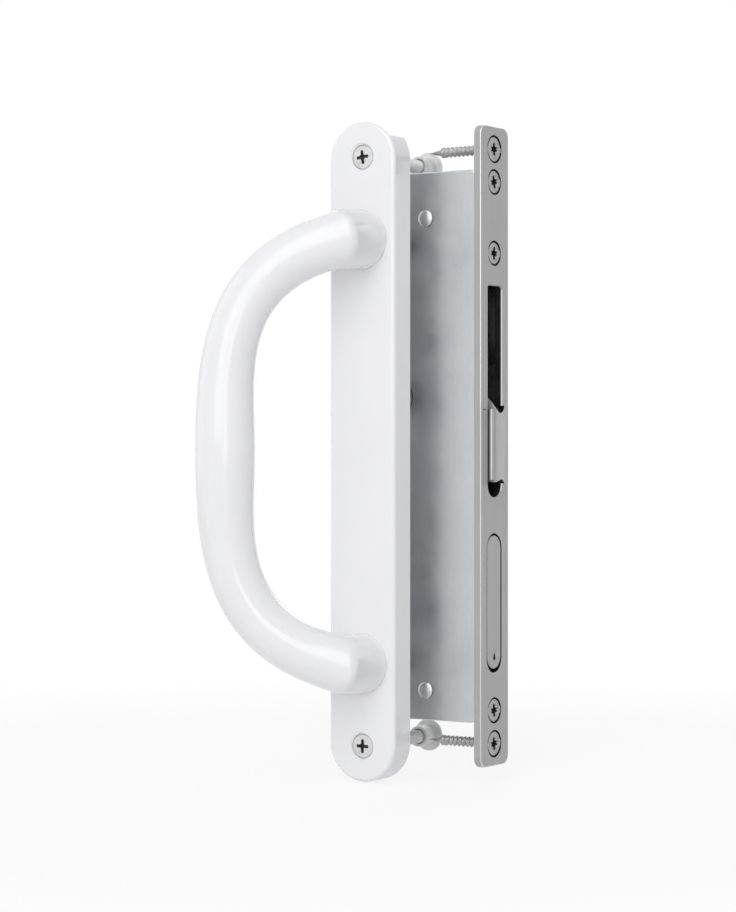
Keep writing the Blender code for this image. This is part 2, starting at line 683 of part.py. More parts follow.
def build_rose_screws(rose, back):
    for name, side in (("rose_screw_left", -1), ("rose_screw_right", 1)):
        centre = (side * ROSE_SCREWS, back, SPINDLE_Z)
        wide = ROSE_SCREW_HEAD_R + EASE
        slim = ROSE_SCREW_R + EASE
        mouth = ROSE_DEPTH - ROSE_HOLE_RIM
        bore = ((0, ROSE_DEPTH + OVER), (wide, ROSE_DEPTH + OVER), (wide, mouth))
        bore += ((slim, mouth - (wide - slim)), (slim, -OVER), (0, -OVER))
        cut(rose, turned(bore, "Y", centre, COARSE_SIDES))
        top = ROSE_DEPTH - ROSE_SCREW_SINK
        rim = top - ROSE_SCREW_RIM
        tip = top - ROSE_SCREW_LENGTH
        profile = ((0, top), (ROSE_SCREW_HEAD_R, top), (ROSE_SCREW_HEAD_R, rim))
        profile += ((ROSE_SCREW_R, rim - (ROSE_SCREW_HEAD_R - ROSE_SCREW_R)),)
        profile += ((ROSE_SCREW_R, tip + ROSE_SCREW_POINT), (0, tip))
        screw = place(name, turned(profile, "Y", centre, COARSE_SIDES), PARTS, SCREW_STEEL)
        cut(screw, *cross_recess("Y", centre, top, ROSE_CROSS, ROSE_CROSS_TURN * side, 1))
        smooth(screw)


def helper_at(name, mesh, centre):
    """A helper whose mesh is given about centre."""
    mesh.transform(Matrix.Translation(centre))
    return helper(name, mesh)


def gear_outline():
    """One closed line round the pinion's teeth, with involute flanks."""
    lean = math.radians(PRESSURE_ANGLE)
    base_r = PITCH_R * math.cos(lean)
    root_r = PITCH_R - TOOTH_ROOT * MODULE
    tip_r = PITCH_R + TOOTH_TIP * MODULE
    half = math.pi / (2 * TEETH) - BACKLASH / (2 * PITCH_R)
    opening = math.tan(lean) - lean
    flank = []
    for step in range(FLANK_STEPS + 1):
        radius = base_r + (tip_r - base_r) * step / FLANK_STEPS
        tilt = math.acos(base_r / radius)
        flank.append((radius, half + opening - (math.tan(tilt) - tilt)))
    flank.insert(0, (root_r, flank[0][1] + ROOT_FLARE))
    points = []
    for tooth in range(TEETH):
        middle = 2 * math.pi * tooth / TEETH
        sides = [(r, middle - a) for r, a in flank] + [(r, middle + a) for r, a in reversed(flank)]
        points += [(r * math.cos(t), SPINDLE_Z + r * math.sin(t)) for r, t in sides]
    return points


def build_pinion():
    low = LOCK_Y - PINION_WIDTH / 2
    axis = (0, 0, SPINDLE_Z)
    teeth = prism(gear_outline(), "Y", low, low + PINION_WIDTH)
    pinion = place("drive_pinion", teeth, PARTS, ZINC, axis)
    front = CASE_FRONT_Y
    back = CASE_BACK_Y
    near = ROOM_FRONT_Y + EASE
    far = ROOM_BACK_Y - EASE
    profile = ((0, back), (HUB_COLLAR_R, back), (HUB_COLLAR_R, far), (HUB_R, far), (HUB_R, near))
    profile += ((HUB_COLLAR_R, near), (HUB_COLLAR_R, front), (0, front))
    add(pinion, turned(profile, "Y", axis, MEDIUM_SIDES))
    half = SPINDLE_SIDE / 2 + EASE
    cut(pinion, block((-half, front - OVER, SPINDLE_Z - half), (half, back + OVER, SPINDLE_Z + half)))
    smooth(pinion, GEAR_CREASE)


def case_outline(inset=0.0):
    low = CASE_LOW_Z + inset
    high = CASE_HIGH_Z - inset
    left = CASE_BACK_X + inset
    right = CASE_FRONT_X - inset
    return round_box(left, low, right, high, CASE_CORNER - inset, CASE_CORNER_STEPS)


def hook_slot(margin=0.0):
    """Flat top with small corners, round bottom."""
    half = HOOK_SLOT_WIDTH / 2 + margin
    low = HOOK_SLOT_LOW - margin + half
    high = HOOK_SLOT_HIGH + margin
    corner = HOOK_SLOT_CORNER
    points = arc((LOCK_Y + half - corner, high - corner), corner, 0, 90, CASE_CORNER_STEPS)
    points += arc((LOCK_Y - half + corner, high - corner), corner, 90, 180, CASE_CORNER_STEPS)
    return points + arc((LOCK_Y, low), half, 180, 360, SLOT_STEPS)


def trigger_slot(margin=0.0):
    width = TRIGGER_SLOT_WIDTH + 2 * margin
    return stadium(width, TRIGGER_SLOT_LOW - margin, TRIGGER_SLOT_HIGH + margin, LOCK_Y, SLOT_STEPS)


def build_case():
    tray = place("lock_case", prism(case_outline(), "Y", ROOM_FRONT_Y + EASE, CASE_BACK_Y), PARTS, ZINC)
    cut(tray, prism(case_outline(SHEET), "Y", ROOM_FRONT_Y - OVER, ROOM_BACK_Y))
    wide = NOSE_HALF + EASE
    for height in (SCREW_HEIGHTS[i] for i in range(len(SCREW_HEIGHTS)) if i not in WOOD_SCREWS):
        low = (FLANGE_X - LUG_DEPTH, LOCK_Y - wide, height - LUG_HALF)
        top = min(height + LUG_HALF, CASE_HIGH_Z - SHEET / 2)
        add(tray, block(low, (FLANGE_X + SHEET / 2, LOCK_Y + wide, top)))
    lug_low = (SEAT_X, LOCK_Y - wide, min(SPRING_HEIGHTS) - 2 * SPRING_R)
    add(tray, block(lug_low, (SEAT_X + SHEET, ROOM_BACK_Y + SHEET / 2, max(SPRING_HEIGHTS) + 2 * SPRING_R)))
    deep = FLANGE_X - OVER
    cut(tray, prism(hook_slot(EASE), "X", deep, CASE_FRONT_X + OVER))
    cut(tray, prism(trigger_slot(EASE), "X", deep, CASE_FRONT_X + OVER))
    for i, height in enumerate(SCREW_HEIGHTS):
        if i not in WOOD_SCREWS:
            centre = (0, LOCK_Y, height)
            reach = FLANGE_X - LUG_DEPTH - 2 * OVER
            cut(tray, rod(SCREW_SHANK_R + EASE, "X", centre, reach, CASE_FRONT_X + OVER, COARSE_SIDES))
    cover_low = CASE_FRONT_Y
    cover = place("case_cover", prism(case_outline(), "Y", cover_low, ROOM_FRONT_Y), PARTS, ZINC)
    for x, z in CASE_RIVETS:
        for wall, low, high in ((cover, cover_low, ROOM_FRONT_Y), (tray, ROOM_BACK_Y, CASE_BACK_Y)):
            cut(wall, rod(RIVET_NECK_R + EASE, "Y", (x, 0, z), low - OVER, high + OVER, SMALL_SIDES))
    hub = HUB_COLLAR_R + EASE
    cut(cover, rod(hub, "Y", (0, 0, SPINDLE_Z), cover_low - OVER, ROOM_FRONT_Y + OVER, MEDIUM_SIDES))
    cut(tray, rod(hub, "Y", (0, 0, SPINDLE_Z), ROOM_BACK_Y - OVER, CASE_BACK_Y + OVER, MEDIUM_SIDES))
    smooth(tray)
    smooth(cover)


def build_case_rivets():
    for number, (x, z) in enumerate(CASE_RIVETS, 1):
        back = CASE_BACK_Y + EASE
        front = CASE_FRONT_Y - EASE
        far = ROOM_BACK_Y - EASE
        near = ROOM_FRONT_Y + EASE
        profile = crown(RIVET_HEAD_R, RIVET_HEAD, back + RIVET_HEAD, 1)
        profile += ((RIVET_NECK_R, back), (RIVET_NECK_R, far), (RIVET_R, far))
        profile += ((RIVET_R, near), (RIVET_NECK_R, near), (RIVET_NECK_R, front))
        profile += tuple(reversed(crown(RIVET_HEAD_R, RIVET_HEAD, front - RIVET_HEAD, -1)))
        rivet = turned(profile, "Y", (x, 0, z), SMALL_SIDES)
        smooth(place("case_rivet_%d" % number, rivet, PARTS, ZINC))


def build_faceplate():
    left, right = LOCK_Y - FACE_WIDTH / 2, LOCK_Y + FACE_WIDTH / 2
    outline = round_box(left, FACE_LOW_Z, right, FACE_HIGH_Z, FACE_CORNER, FACE_CORNER_STEPS)
    flat = prism(outline, "X", EDGE_X, FACE_X, soft_high=FACE_ROUND, steps=2)
    face = place("faceplate", flat, PARTS, STEEL)
    cut(face, prism(hook_slot(), "X", EDGE_X - OVER, FACE_X + OVER))
    cut(face, prism(trigger_slot(), "X", EDGE_X - OVER, FACE_X + OVER))
    side, top = LOCK_Y + HOOK_SLOT_WIDTH / 2, HOOK_TOP_TIP[1]
    low = (EDGE_X - OVER, side - OVER, top - NOTCH_HEIGHT)
    cut(face, block(low, (FACE_X + OVER, side + NOTCH_DEPTH, top)))
    for height, radius in zip(SCREW_HEIGHTS, SCREW_HEAD_RADII):
        wide = radius + SCREW_RING
        slim = SCREW_SHANK_R + EASE
        rim = FACE_X - SCREW_RIM
        base = max(EDGE_X + EASE, rim - (wide - slim))
        bore = ((0, FACE_X + OVER), (wide, FACE_X + OVER), (wide, rim), (slim, base))
        bore += ((slim, EDGE_X - OVER), (0, EDGE_X - OVER))
        cut(face, turned(bore, "X", (0, LOCK_Y, height), MEDIUM_SIDES))
    smooth(face)


def build_face_screws():
    for number, height in enumerate(SCREW_HEIGHTS):
        centre = (0, LOCK_Y, height)
        radius = SCREW_HEAD_RADII[number]
        top = FACE_X - SCREW_SINK
        neck = FACE_X - SCREW_HEAD_DEPTH
        if number in WOOD_SCREWS:
            tip = FACE_X - WOOD_SCREW_LENGTH
            end = ((SCREW_SHANK_R, tip + WOOD_SCREW_POINT), (0, tip))
        else:
            tip = FACE_X - CASE_SCREW_LENGTH
            end = ((SCREW_SHANK_R, tip + CASE_SCREW_POINT), (SCREW_SHANK_R - CASE_SCREW_POINT, tip), (0, tip))
        profile = ((0, top), (radius - SCREW_EDGE, top), (radius, top - SCREW_EDGE), (SCREW_SHANK_R, neck))
        body = turned(profile + end, "X", centre, MEDIUM_SIDES)
        screw = place("faceplate_screw_%d" % (number + 1), body, PARTS, SCREW_STEEL)
        cut(screw, *cross_recess("X", centre, top, SCREW_CROSS, SCREW_TURNS[number], 1))
        smooth(screw)


def rack_outline():
    """Carrier bar seen from the side, with rack teeth along its left edge."""
    lean = math.tan(math.radians(PRESSURE_ANGLE))
    half = RACK_PITCH / 4 - BACKLASH / 2
    reach = RACK_TIP * MODULE
    root = RACK_ROOT * MODULE
    tip_x = PITCH_R - reach
    root_x = PITCH_R + root
    points = [(CARRIER_STEP_X, CARRIER_LOW_Z), (CARRIER_STEP_X, CARRIER_HIGH_Z)]
    points.append((root_x, CARRIER_HIGH_Z))
    first = math.floor((CARRIER_HIGH_Z - RACK_END - SPINDLE_Z) / RACK_PITCH)
    middle = SPINDLE_Z + (first + 0.5) * RACK_PITCH
    while middle > CARRIER_LOW_Z + RACK_END:
        points += [(root_x, middle + half + root * lean), (tip_x, middle + half - reach * lean)]
        points += [(tip_x, middle - half + reach * lean), (root_x, middle - half - root * lean)]
        middle -= RACK_PITCH
    points.append((root_x, CARRIER_LOW_Z))
    return points


def build_hook():
    near = ROOM_FRONT_Y + EASE
    far = ROOM_BACK_Y - EASE
    half = PINION_WIDTH / 2
    bar = prism(rack_outline(), "Y", LOCK_Y - half, LOCK_Y + half)
    carrier = place("hook_carrier", bar, PARTS, ZINC)
    cheek_front = FLANGE_X - EASE
    low, high = NOSE_LOW_Z, NOSE_HIGH_Z
    add(carrier, block((CARRIER_BACK_X, near, low), (cheek_front, far, high)))
    edge = HOOK_THICK / 2 + EASE
    lift = NOSE_FRONT_X + NOSE_CHAMFER
    root = cheek_front - NOSE_ROOT
    shape = [(root, LOCK_Y - NOSE_HALF), (NOSE_FRONT_X, LOCK_Y - NOSE_HALF)]
    shape += [(NOSE_FRONT_X, LOCK_Y - edge - NOSE_CHAMFER), (lift, LOCK_Y - edge)]
    shape += [(lift, LOCK_Y + edge), (NOSE_FRONT_X, LOCK_Y + edge + NOSE_CHAMFER)]
    shape += [(NOSE_FRONT_X, LOCK_Y + NOSE_HALF), (root, LOCK_Y + NOSE_HALF)]
    add(carrier, prism(shape, "Z", low + EASE, high - EASE))
    gap = (HOOK_ROOT[0][0] - EASE, LOCK_Y - edge, low - OVER)
    cut(carrier, block(gap, (lift + OVER, LOCK_Y + edge, high + OVER)))
    for height in HOOK_PINS_Z:
        hole = (HOOK_PIN_X, 0, height)
        cut(carrier, rod(HOOK_PIN_R + EASE, "Y", hole, near - OVER, far + OVER, COARSE_SIDES))
    smooth(carrier, GEAR_CREASE)

    outline = list(HOOK_ROOT + HOOK_TOP + (HOOK_TOP_TIP, HOOK_BOTTOM_TIP) + HOOK_BOTTOM)
    level = HOOK_THICK / 2
    hook = place("hook_bolt", prism(outline, "Y", LOCK_Y - level, LOCK_Y + level), PARTS, STEEL)
    for number, height in enumerate(HOOK_PINS_Z, 1):
        hole = (HOOK_PIN_X, 0, height)
        lower, upper = LOCK_Y - level - OVER, LOCK_Y + level + OVER
        cut(hook, rod(HOOK_PIN_R + EASE, "Y", hole, lower, upper, COARSE_SIDES))
        pin = rod(HOOK_PIN_R, "Y", hole, near + PIN_SHORT, far - PIN_SHORT, COARSE_SIDES)
        smooth(place("hook_pin_%d" % number, pin, PARTS, ZINC))
    smooth(hook, GEAR_CREASE)


def build_trigger():
    low = TRIGGER_SLOT_LOW + TRIGGER_FOOT_GAP
    high = TRIGGER_SLOT_HIGH - TRIGGER_TOP_GAP
    width = TRIGGER_SLOT_WIDTH - 2 * TRIGGER_SIDE_GAP
    outline = stadium(width, low, high, LOCK_Y, SLOT_STEPS)
    front = prism(outline, "X", TRIGGER_BACK_X + OVER, TRIGGER_FRONT_X, soft_high=TRIGGER_ROUND)
    trigger = place("push_trigger", front, PARTS, STEEL)
    half = (ROOM_BACK_Y - ROOM_FRONT_Y) / 2 - EASE
    left, right = LOCK_Y - half, LOCK_Y + half
    low, high = low - SHOULDER_OUT, high + SHOULDER_OUT
    shoulder = round_box(left, low, right, high, SHOULDER_CORNER, CASE_CORNER_STEPS)
    add(trigger, prism(shoulder, "X", TRIGGER_BACK_X, FLANGE_X - EASE))
    for height in SPRING_HEIGHTS:
        centre = (0, LOCK_Y, height)
        tip = TRIGGER_BACK_X - SPIGOT
        add(trigger, rod(SPIGOT_R, "X", centre, tip, TRIGGER_BACK_X + OVER, SMALL_SIDES))
    radius = TEAR_WIDTH / 2
    tear = arc((LOCK_Y, TEAR_Z - TEAR_LENGTH / 2 + radius), radius, *TEAR_ARC, TEAR_STEPS)
    tear.append((LOCK_Y, TEAR_Z + TEAR_LENGTH / 2))
    cut(trigger, prism(tear, "X", TRIGGER_FRONT_X - TEAR_DEPTH, TRIGGER_FRONT_X + OVER))
    smooth(trigger)


def build_springs():
    start = SEAT_X + SHEET + EASE + SPRING_WIRE_R
    end = TRIGGER_BACK_X - EASE - SPRING_WIRE_R
    for name, height in zip(("trigger_spring_top", "trigger_spring_bottom"), SPRING_HEIGHTS):
        wire = bpy.data.curves.new("wire", "CURVE")
        wire.dimensions = "3D"
        wire.bevel_depth = SPRING_WIRE_R
        wire.bevel_resolution = 2
        wire.use_fill_caps = True
        line = wire.splines.new("POLY")
        count = SPRING_COILS * SPRING_SIDES
        line.points.add(count)
        for i, point in enumerate(line.points):
            turn = 2 * math.pi * i / SPRING_SIDES
            along = start + (end - start) * i / count
            y = LOCK_Y + SPRING_R * math.cos(turn)
            point.co = (along, y, height + SPRING_R * math.sin(turn), 1)
        coil = bpy.data.objects.new("wire", wire)
        mesh = bpy.data.meshes.new_from_object(coil)
        bpy.data.objects.remove(coil)
        edit = bmesh.new()
        edit.from_mesh(mesh)
        bpy.data.meshes.remove(mesh)
        bmesh.ops.remove_doubles(edit, verts=edit.verts, dist=SAME)
        smooth(place(name, mesh_of(edit), PARTS, SCREW_STEEL), SPRING_CREASE)


clear_scene()
PARTS = collection("sliding_door_handle_set")
HELPERS = collection("cutters")
HELPERS.hide_render = True
ENAMEL = material("white_enamel", (0.86, 0.86, 0.85), 0.0, 0.22)
STEEL = material("brushed_steel", (0.56, 0.57, 0.57), 1.0, 0.34)
ZINC = material("zinc_plate", (0.62, 0.64, 0.66), 1.0, 0.38)
SCREW_STEEL = material("screw_steel", (0.66, 0.67, 0.68), 1.0, 0.28)

build_backplate()
build_grip()
build_grip_screws()
build_fixing_screws()
build_sleeve_nuts()
build_spindle()
build_turn()
build_pinion()
build_case()
build_case_rivets()
build_faceplate()
build_face_screws()
build_hook()
build_trigger()
build_springs()
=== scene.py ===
"""Looks of a sliding door handle set: a D-shaped pull grip on a round-ended plate, and a hook lock.

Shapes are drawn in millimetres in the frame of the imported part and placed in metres. The origin is the
middle of the plate's rear face, +X points to the lock's faceplate, +Y away from the grip and +Z up.
"""

from collections import namedtuple
from math import atan2, cos, hypot, pi, radians, sin, tan

import bmesh
import bpy
from mathutils import Matrix, Vector


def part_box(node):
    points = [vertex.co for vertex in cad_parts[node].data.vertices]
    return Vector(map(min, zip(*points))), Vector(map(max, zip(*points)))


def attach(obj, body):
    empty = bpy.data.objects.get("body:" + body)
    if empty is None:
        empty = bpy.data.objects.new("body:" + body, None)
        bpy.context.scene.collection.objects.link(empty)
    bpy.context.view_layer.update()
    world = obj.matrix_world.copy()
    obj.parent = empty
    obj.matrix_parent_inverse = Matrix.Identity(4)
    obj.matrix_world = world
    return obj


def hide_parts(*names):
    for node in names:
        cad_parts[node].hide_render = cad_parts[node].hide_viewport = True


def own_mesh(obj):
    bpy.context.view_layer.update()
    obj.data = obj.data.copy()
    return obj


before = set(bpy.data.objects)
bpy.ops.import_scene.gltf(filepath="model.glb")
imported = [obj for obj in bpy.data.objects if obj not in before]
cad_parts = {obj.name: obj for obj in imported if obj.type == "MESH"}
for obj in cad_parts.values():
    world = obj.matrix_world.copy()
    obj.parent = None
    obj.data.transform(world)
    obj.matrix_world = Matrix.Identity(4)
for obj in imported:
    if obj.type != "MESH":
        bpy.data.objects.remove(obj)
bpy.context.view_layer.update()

MM = 0.001
SAME = 1e-4  # points closer than this are one point
OVER = 1.0  # how far a cutter runs past what it cuts
EASE = 0.3  # gap between pieces that touch
RIM_ANGLE = 40.0  # a rim sharper than this can be rounded, in degrees
FLAT = 0.97  # a face whose normal has this share along an axis lies across it
CREASE = 34.0  # an edge sharper than this is softened and shaded sharp, in degrees
SMOOTH_CREASE = 50.0  # the same for lofted pieces

# Camera, for an image of 736 x 912
IMAGE_HEIGHT = 912
FOCAL_PIXELS = 2590.0
SENSOR = 36.0
CAMERA_PLACE = (0.5165, -0.8019, 0.0006)
CAMERA_AZIMUTH = 33.0
HORIZON_RISE = 6  # pixels from the image's middle up to the horizon
CLIP_START = 0.05

# Light, in metres and watts
SKY = 0.42
LAMPS = (  # name, place, size and power
    ("front", (0.33, -1.87, 0.89), (1.2, 1.8), 11.5),
    ("window", (1.07, -1.53, 0.95), (0.55, 2.6), 8.7),
    ("left", (-2.1, -0.6, 0.7), (1.6, 1.8), 5.0),
    ("top", (0.3, -0.9, 1.9), (1.2, 1.2), 5.0),
    ("back", (-0.7, 1.9, 1.2), (1.6, 1.2), 8.0),
)
FLOOR_WHITE = 0.82  # share of the floor's look that is plain white, beside the object
FLOOR_NEAR = 0.22  # from here to the next distance the rest turns white too
FLOOR_FAR = 0.42
FLOOR_DROP = 0.0004  # from the lowest point down to the floor
FLOOR_HALF = 6.0

# Colours
ENAMEL_TONES = ((0.871, 0.873, 0.896), (0.858, 0.86, 0.884))
DUST = (0.6, 0.59, 0.57)
BRUSH_DARK = (0.94, 0.943, 0.945)  # shares of the steel's own tone
BRUSH_LIGHT = (1.06, 1.063, 1.06)
BRUSH_SMEAR = (0.93, 0.92, 0.9)
ZINC_TONES = ((0.58, 0.6, 0.62), (0.63, 0.635, 0.64))
ZINC_STREAK = (0.5, 0.52, 0.54)
SCREW_BRIGHT = (1.0, 1.0, 1.01)
SCREW_DULL = (0.84, 0.84, 0.83)
# painted shade, near black, for hollows and the lock's inside
PAINTED_SHADE_TONES = ((0.009, 0.009, 0.009), (0.026, 0.026, 0.025))
# painted shade on the hook's edges
HOOK_EDGE_SHADE_TONES = ((0.008, 0.008, 0.008), (0.02, 0.02, 0.0195))
# painted shade in screw recesses; the next tone is a painted glint on their walls
RECESS_SHADE_TONES = ((0.035, 0.034, 0.032), (0.13, 0.128, 0.122))
RECESS_GLINT = (0.78, 0.78, 0.77)
FLOOR_TONES = ((0.89, 0.89, 0.89), (0.91, 0.91, 0.91))

# Fineness
ROUND_SIDES = 96
SMALL_SIDES = 64
PIN_SIDES = 40
BORE_SIDES = 32
THREAD_SIDES = 40
THREAD_STEPS = 8  # rings in one turn of a thread
RIM_STEPS = 8
CORNER_STEPS = 10
CROSS_STEPS = 5
FLOW_STEPS = 5
FILLET_STEPS = 4
SLOT_STEPS = 40

# Cross recess, in shares of its size
CROSS_TAPER = ((1.0, 0.0), (0.86, 0.45), (0.5, 1.0))  # of a bar's length, and of the depth
CROSS_MOUTH = 1.06  # of a bar's length, at the top of its cutter
CROSS_NARROWS = 0.4  # power of the length's share that gives the width's
CROSS_CORNER = 0.3
CROSS_FORK = (0.9, 0.55)  # length and width of a forked bar
CONE_TAPER = ((0.98, 0.0), (0.62, 0.8), (0.0, 1.25))  # of a bar's width, and of the depth
CONE_MOUTH = 1.05
CONE_SIDES = 24

# Threads
THREAD_FADE = 6.0  # a thread reaches its full depth in this part of its length
THREAD_FLANK = 2.3  # how steeply its ridge falls off
# A thread starts this far below the top of its screw and ends at the length of its bare point.
Thread = namedtuple("Thread", "radius start point pitch depth tip pointed")
GRIP_THREAD = Thread(3.0, 3.4, 1.0, 1.0, 0.5, 2.0, False)
FIXING_THREAD = Thread(2.5, 8.0, 0.8, 0.8, 0.35, 1.7, False)
WOOD_THREAD = Thread(2.0, 6.0, 6.0, 1.8, 0.6, 1.4, True)
METAL_THREAD = Thread(2.0, 3.2, 0.7, 0.7, 0.3, 1.3, False)
ROSE_THREAD = Thread(1.8, 2.6, 2.4, 1.3, 0.5, 1.3, True)

# Handle plate
PLATE_ROUND = 1.5
PLATE_STEPS = 72
PLATE_SKIN = 3.4
PLATE_WALL = 3.0
PLATE_RIB = 3.0
BOSS_ABOVE = 15.0
BOSS_BELOW = 35.0
POCKET_CLEAR = 12.8
POCKET_CORNER = 2.8
FIXING_RECESS_R = 5.2
FIXING_SEAT_R = 4.5
FIXING_MOUTH = 0.85
FIXING_SUNK = 0.25
FIXING_RECESS_DEPTH = 3.3
FIXING_BORE_R = 2.8
FIXING_TURNS = (7.0, -1.0)
FIXING_CROSS = (2.55, 1.2, 1.8)  # half length of a bar, its width, its depth
FIXING_CROWN = (2.6, -0.04)  # radius and height of the head's rise
FIXING_RIM = ((0.25, -0.14), (0.0, -0.36))  # in from the head's rim, and height
FIXING_HEAD = 2.6
FIXING_NECK = 0.6
GRIP_COUNTERBORE = 5.5
GRIP_SEAT_R = 5.6
GRIP_BORE_R = 3.3
PLATE_SOFT = 0.22
BEARING_R = 5.75
BEARING_DEPTH = 6.6

# Pull grip
GRIP_TILT = 30.0
GRIP_FALL = 15.3
GRIP_ARM = 45.6
GRIP_SHOULDER = 31.0
GRIP_REACH = 41.3
ELBOW_HEIGHT = 14.5
ELBOW_DROP = 0.7
ELBOW_FILLET = 4.0
ELBOW_CLEAR = 1.0
FOOT_GAP = 0.06
STUB_RADII = (  # height above the plate, radius
    (0.0, 10.7), (0.08, 10.87), (0.3, 10.95), (0.6, 10.93), (1.2, 10.82), (2.2, 10.7),
)
ELBOW_R = 10.5
ARM_R = 10.0
MIDDLE_R = 10.8
ARM_WAIST = 0.85
GRIP_SIDES = 112
ELBOW_STEPS = 20
ARM_STEPS = 64
GRIP_SCREW_HEAD = ((0, 0), (3.0, -0.25), (5.0, -1.4), (5.0, -3.2), (3.0, -3.2), (3.0, -3.4))
GRIP_CROSS = (2.6, 1.2, 1.7)
GRIP_CROSS_TURN = 20.0

# Faceplate
LOCK_Y = 18.5
EDGE_X = 36.0
FACE_CORNER = 3.7
FACE_RIM = 0.3
SLOT_RIM = 0.4
TRIGGER_RIM = 0.12
SCRATCH_LOW = (38.9, 10.3, 15.25)  # lowest and highest corner of the scratch's cutter
SCRATCH_HIGH = (40.0, 12.0, 15.6)
BRIGHT_RIM = (-14.5, 59.0)  # heights between which the hook slot's rim takes a painted highlight
BORE_GLINT = 0.9  # half height of the painted glint in a screw bore
BORE_SHIFT = -0.12
HOOK_SLOT_LOW = -16.7
HOOK_SLOT_INSET = 58.3
HOOK_SLOT_SIDES = (-4.7, 5.2)
HOOK_SLOT_CORNER = 1.4
HOOK_SLOT_REACH = 6.5  # from the lock's middle to beyond the slot's rim
TRIGGER_SLOT_HIGH = -29.9
TRIGGER_SLOT_INSET = 34.1
TRIGGER_SLOT_WIDTH = 11.0
TRIGGER_SLOT_SHIFT = -0.15
SCREW_TURNS = (3.0, 13.0, -2.0, 4.0, 6.0)
SCREW_CROSS = (2.35, 1.4, 1.8)
SCREW_PALE = 1.0  # half height of the part of a screw's rim that stays pale, left out of the painted shade
SCREW_FORK = 17.0
SCREW_EDGE = 0.25  # of a screw's head, in from its rim
SCREW_LIP = 0.2
SCREW_FLANK = (-1.5, -0.1)  # heights between which the head's cone takes painted shade
NOTCH_DEPTH = 1.9
NOTCH_HEIGHT = 3.8
NOTCH_FLOOR = 0.6  # left behind the notch, so that no light comes in past the case's rounded fold
SCREW_RING = 0.55
SCREW_RIM = 0.5
SCREW_SHANK_R = WOOD_THREAD.radius
WOOD_SCREWS = (1, 5)

# Hook
HOOK_THICK = 2.4
HOOK_SOFT = 0.12
HOOK_TOP = ((37.3, 19.6), (39.5, 16.9), (40.9, 15.2), (41.5, 14.4), (42.0, 14.1), (42.7, 14.3))
HOOK_TOP += ((43.4, 15.1), (44.0, 16.9))
HOOK_BOTTOM = ((44.0, -11.9), (43.5, -11.0), (42.9, -10.2), (42.3, -10.2), (41.5, -10.6), (40.2, -11.1))
HOOK_BOTTOM += ((38.4, -11.1),)
HOOK_ROOT = ((23.0, -10.1), (23.0, 15.5), (33.5, 15.5), (35.5, 19.6))
HOOK_DRAW = 0.5  # how far the stamping draws the lower edge in on each side
HOOK_CORE_Z = -11.6
HOOK_PINS_Z = (-4.5, 10.5)
HOOK_PIN_X = 27.5
HOOK_PIN_R = 1.75
HOOK_SHADE_REACH = (0.5, 0.1, 0.2)  # how far the painted shade on the edges reaches down, up and short of the tip
NOSE_FRONT_X = 38.7
NOSE_LIGHT_BANDS = ((54.0, 0.32, 0.38), (54.8, 0.68, 0.76), (55.6, 0.36, 0.4))  # painted bands of shade and highlight on the nose: start as x + y, and tones
NOSE_BLEND = 0.1

# Push trigger
TRIGGER_TOP_GAP = 0.7
TRIGGER_FOOT_GAP = 1.4
TRIGGER_SIDE_GAP = 0.75
TRIGGER_ROUND = 0.5
TRIGGER_BACK_X = 27.0
TRIGGER_SHOULDER_X = 33.9
SHOULDER_OUT = 3.0
SHOULDER_CORNER = 2.0
TEAR_INSET = 6.1
TEAR_LENGTH = 3.1
TEAR_WIDTH = 1.5
TEAR_DEPTH = 1.2
TEAR_ARC = (160, 380)  # where its round end starts and stops, in degrees
TEAR_STEPS = 24
SPIGOT_R = 1.6
SPIGOT = 4.0
SPRING_WIRE_R = 0.35
SPRING_COILS = 5
SPRING_STEPS = 28
SPRING_CLOSE = 0.12  # share of its length by which the end turns close up
WIRE_SIDES = 12

# Lock case
SHEET = 1.5
CASE_CORNER = 3.0
CASE_FOLD = 0.9
RIVET_NECK_R = 1.6
HUB_R = 8.0
LUG_DEPTH = 5.5
LUG_HALF = 4.2
LUG_WIDE = 4.5
SEAT_X = 9.5
SEAT_REACH = 2.1  # of the springs' seat, beyond them
COVER_FOLD = 0.63
RIVET_HEAD = 0.9
RIVET_NECK = 2.1
RIVET_R = 2.6
CASE_SLOT_MARGIN = 0.8

# Far side
ROSE_EDGE = ((6.0, 0.0), (3.0, 0.12), (1.6, 0.5), (0.5, 1.5), (0.0, 2.8))
ROSE_HOLE_RIM = 0.8
ROSE_FOOT = 0.25
ROSE_SIDES = 128
ROSE_SCREW_EDGE = 0.15
ROSE_SCREW_LIP = 0.3
ROSE_CROSS = (1.9, 0.9, 1.3)
ROSE_CROSS_TURN = 30.0
TURN_NECK_R = 6.6
TURN_COLLAR_R = 9.0
TURN_COLLAR = 2.4
TURN_WIDE = 34.0
TURN_THICK = 9.0
TURN_PADDLE = 14.0
TURN_NECK_ROUND = 2.2
PADDLE_LIFT = 1.2
PADDLE_SOFT = 2.0
PADDLE_STEPS = (6, 8)
NUT_SLOT = 1.2
NUT_SLOT_DEPTH = 0.9
NUT_BARREL_R = 3.9
NUT_FLANGE = 1.6
NUT_CROWN = (1.2, 0.7)  # in and down, from the rim of its head
NUT_BORE_R = 2.8
NUT_CAP = 2.6


def box(node):
    """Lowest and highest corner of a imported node, in millimetres."""
    low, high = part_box(node)
    return low / MM, high / MM


def middle(node):
    low, high = box(node)
    return (low + high) / 2


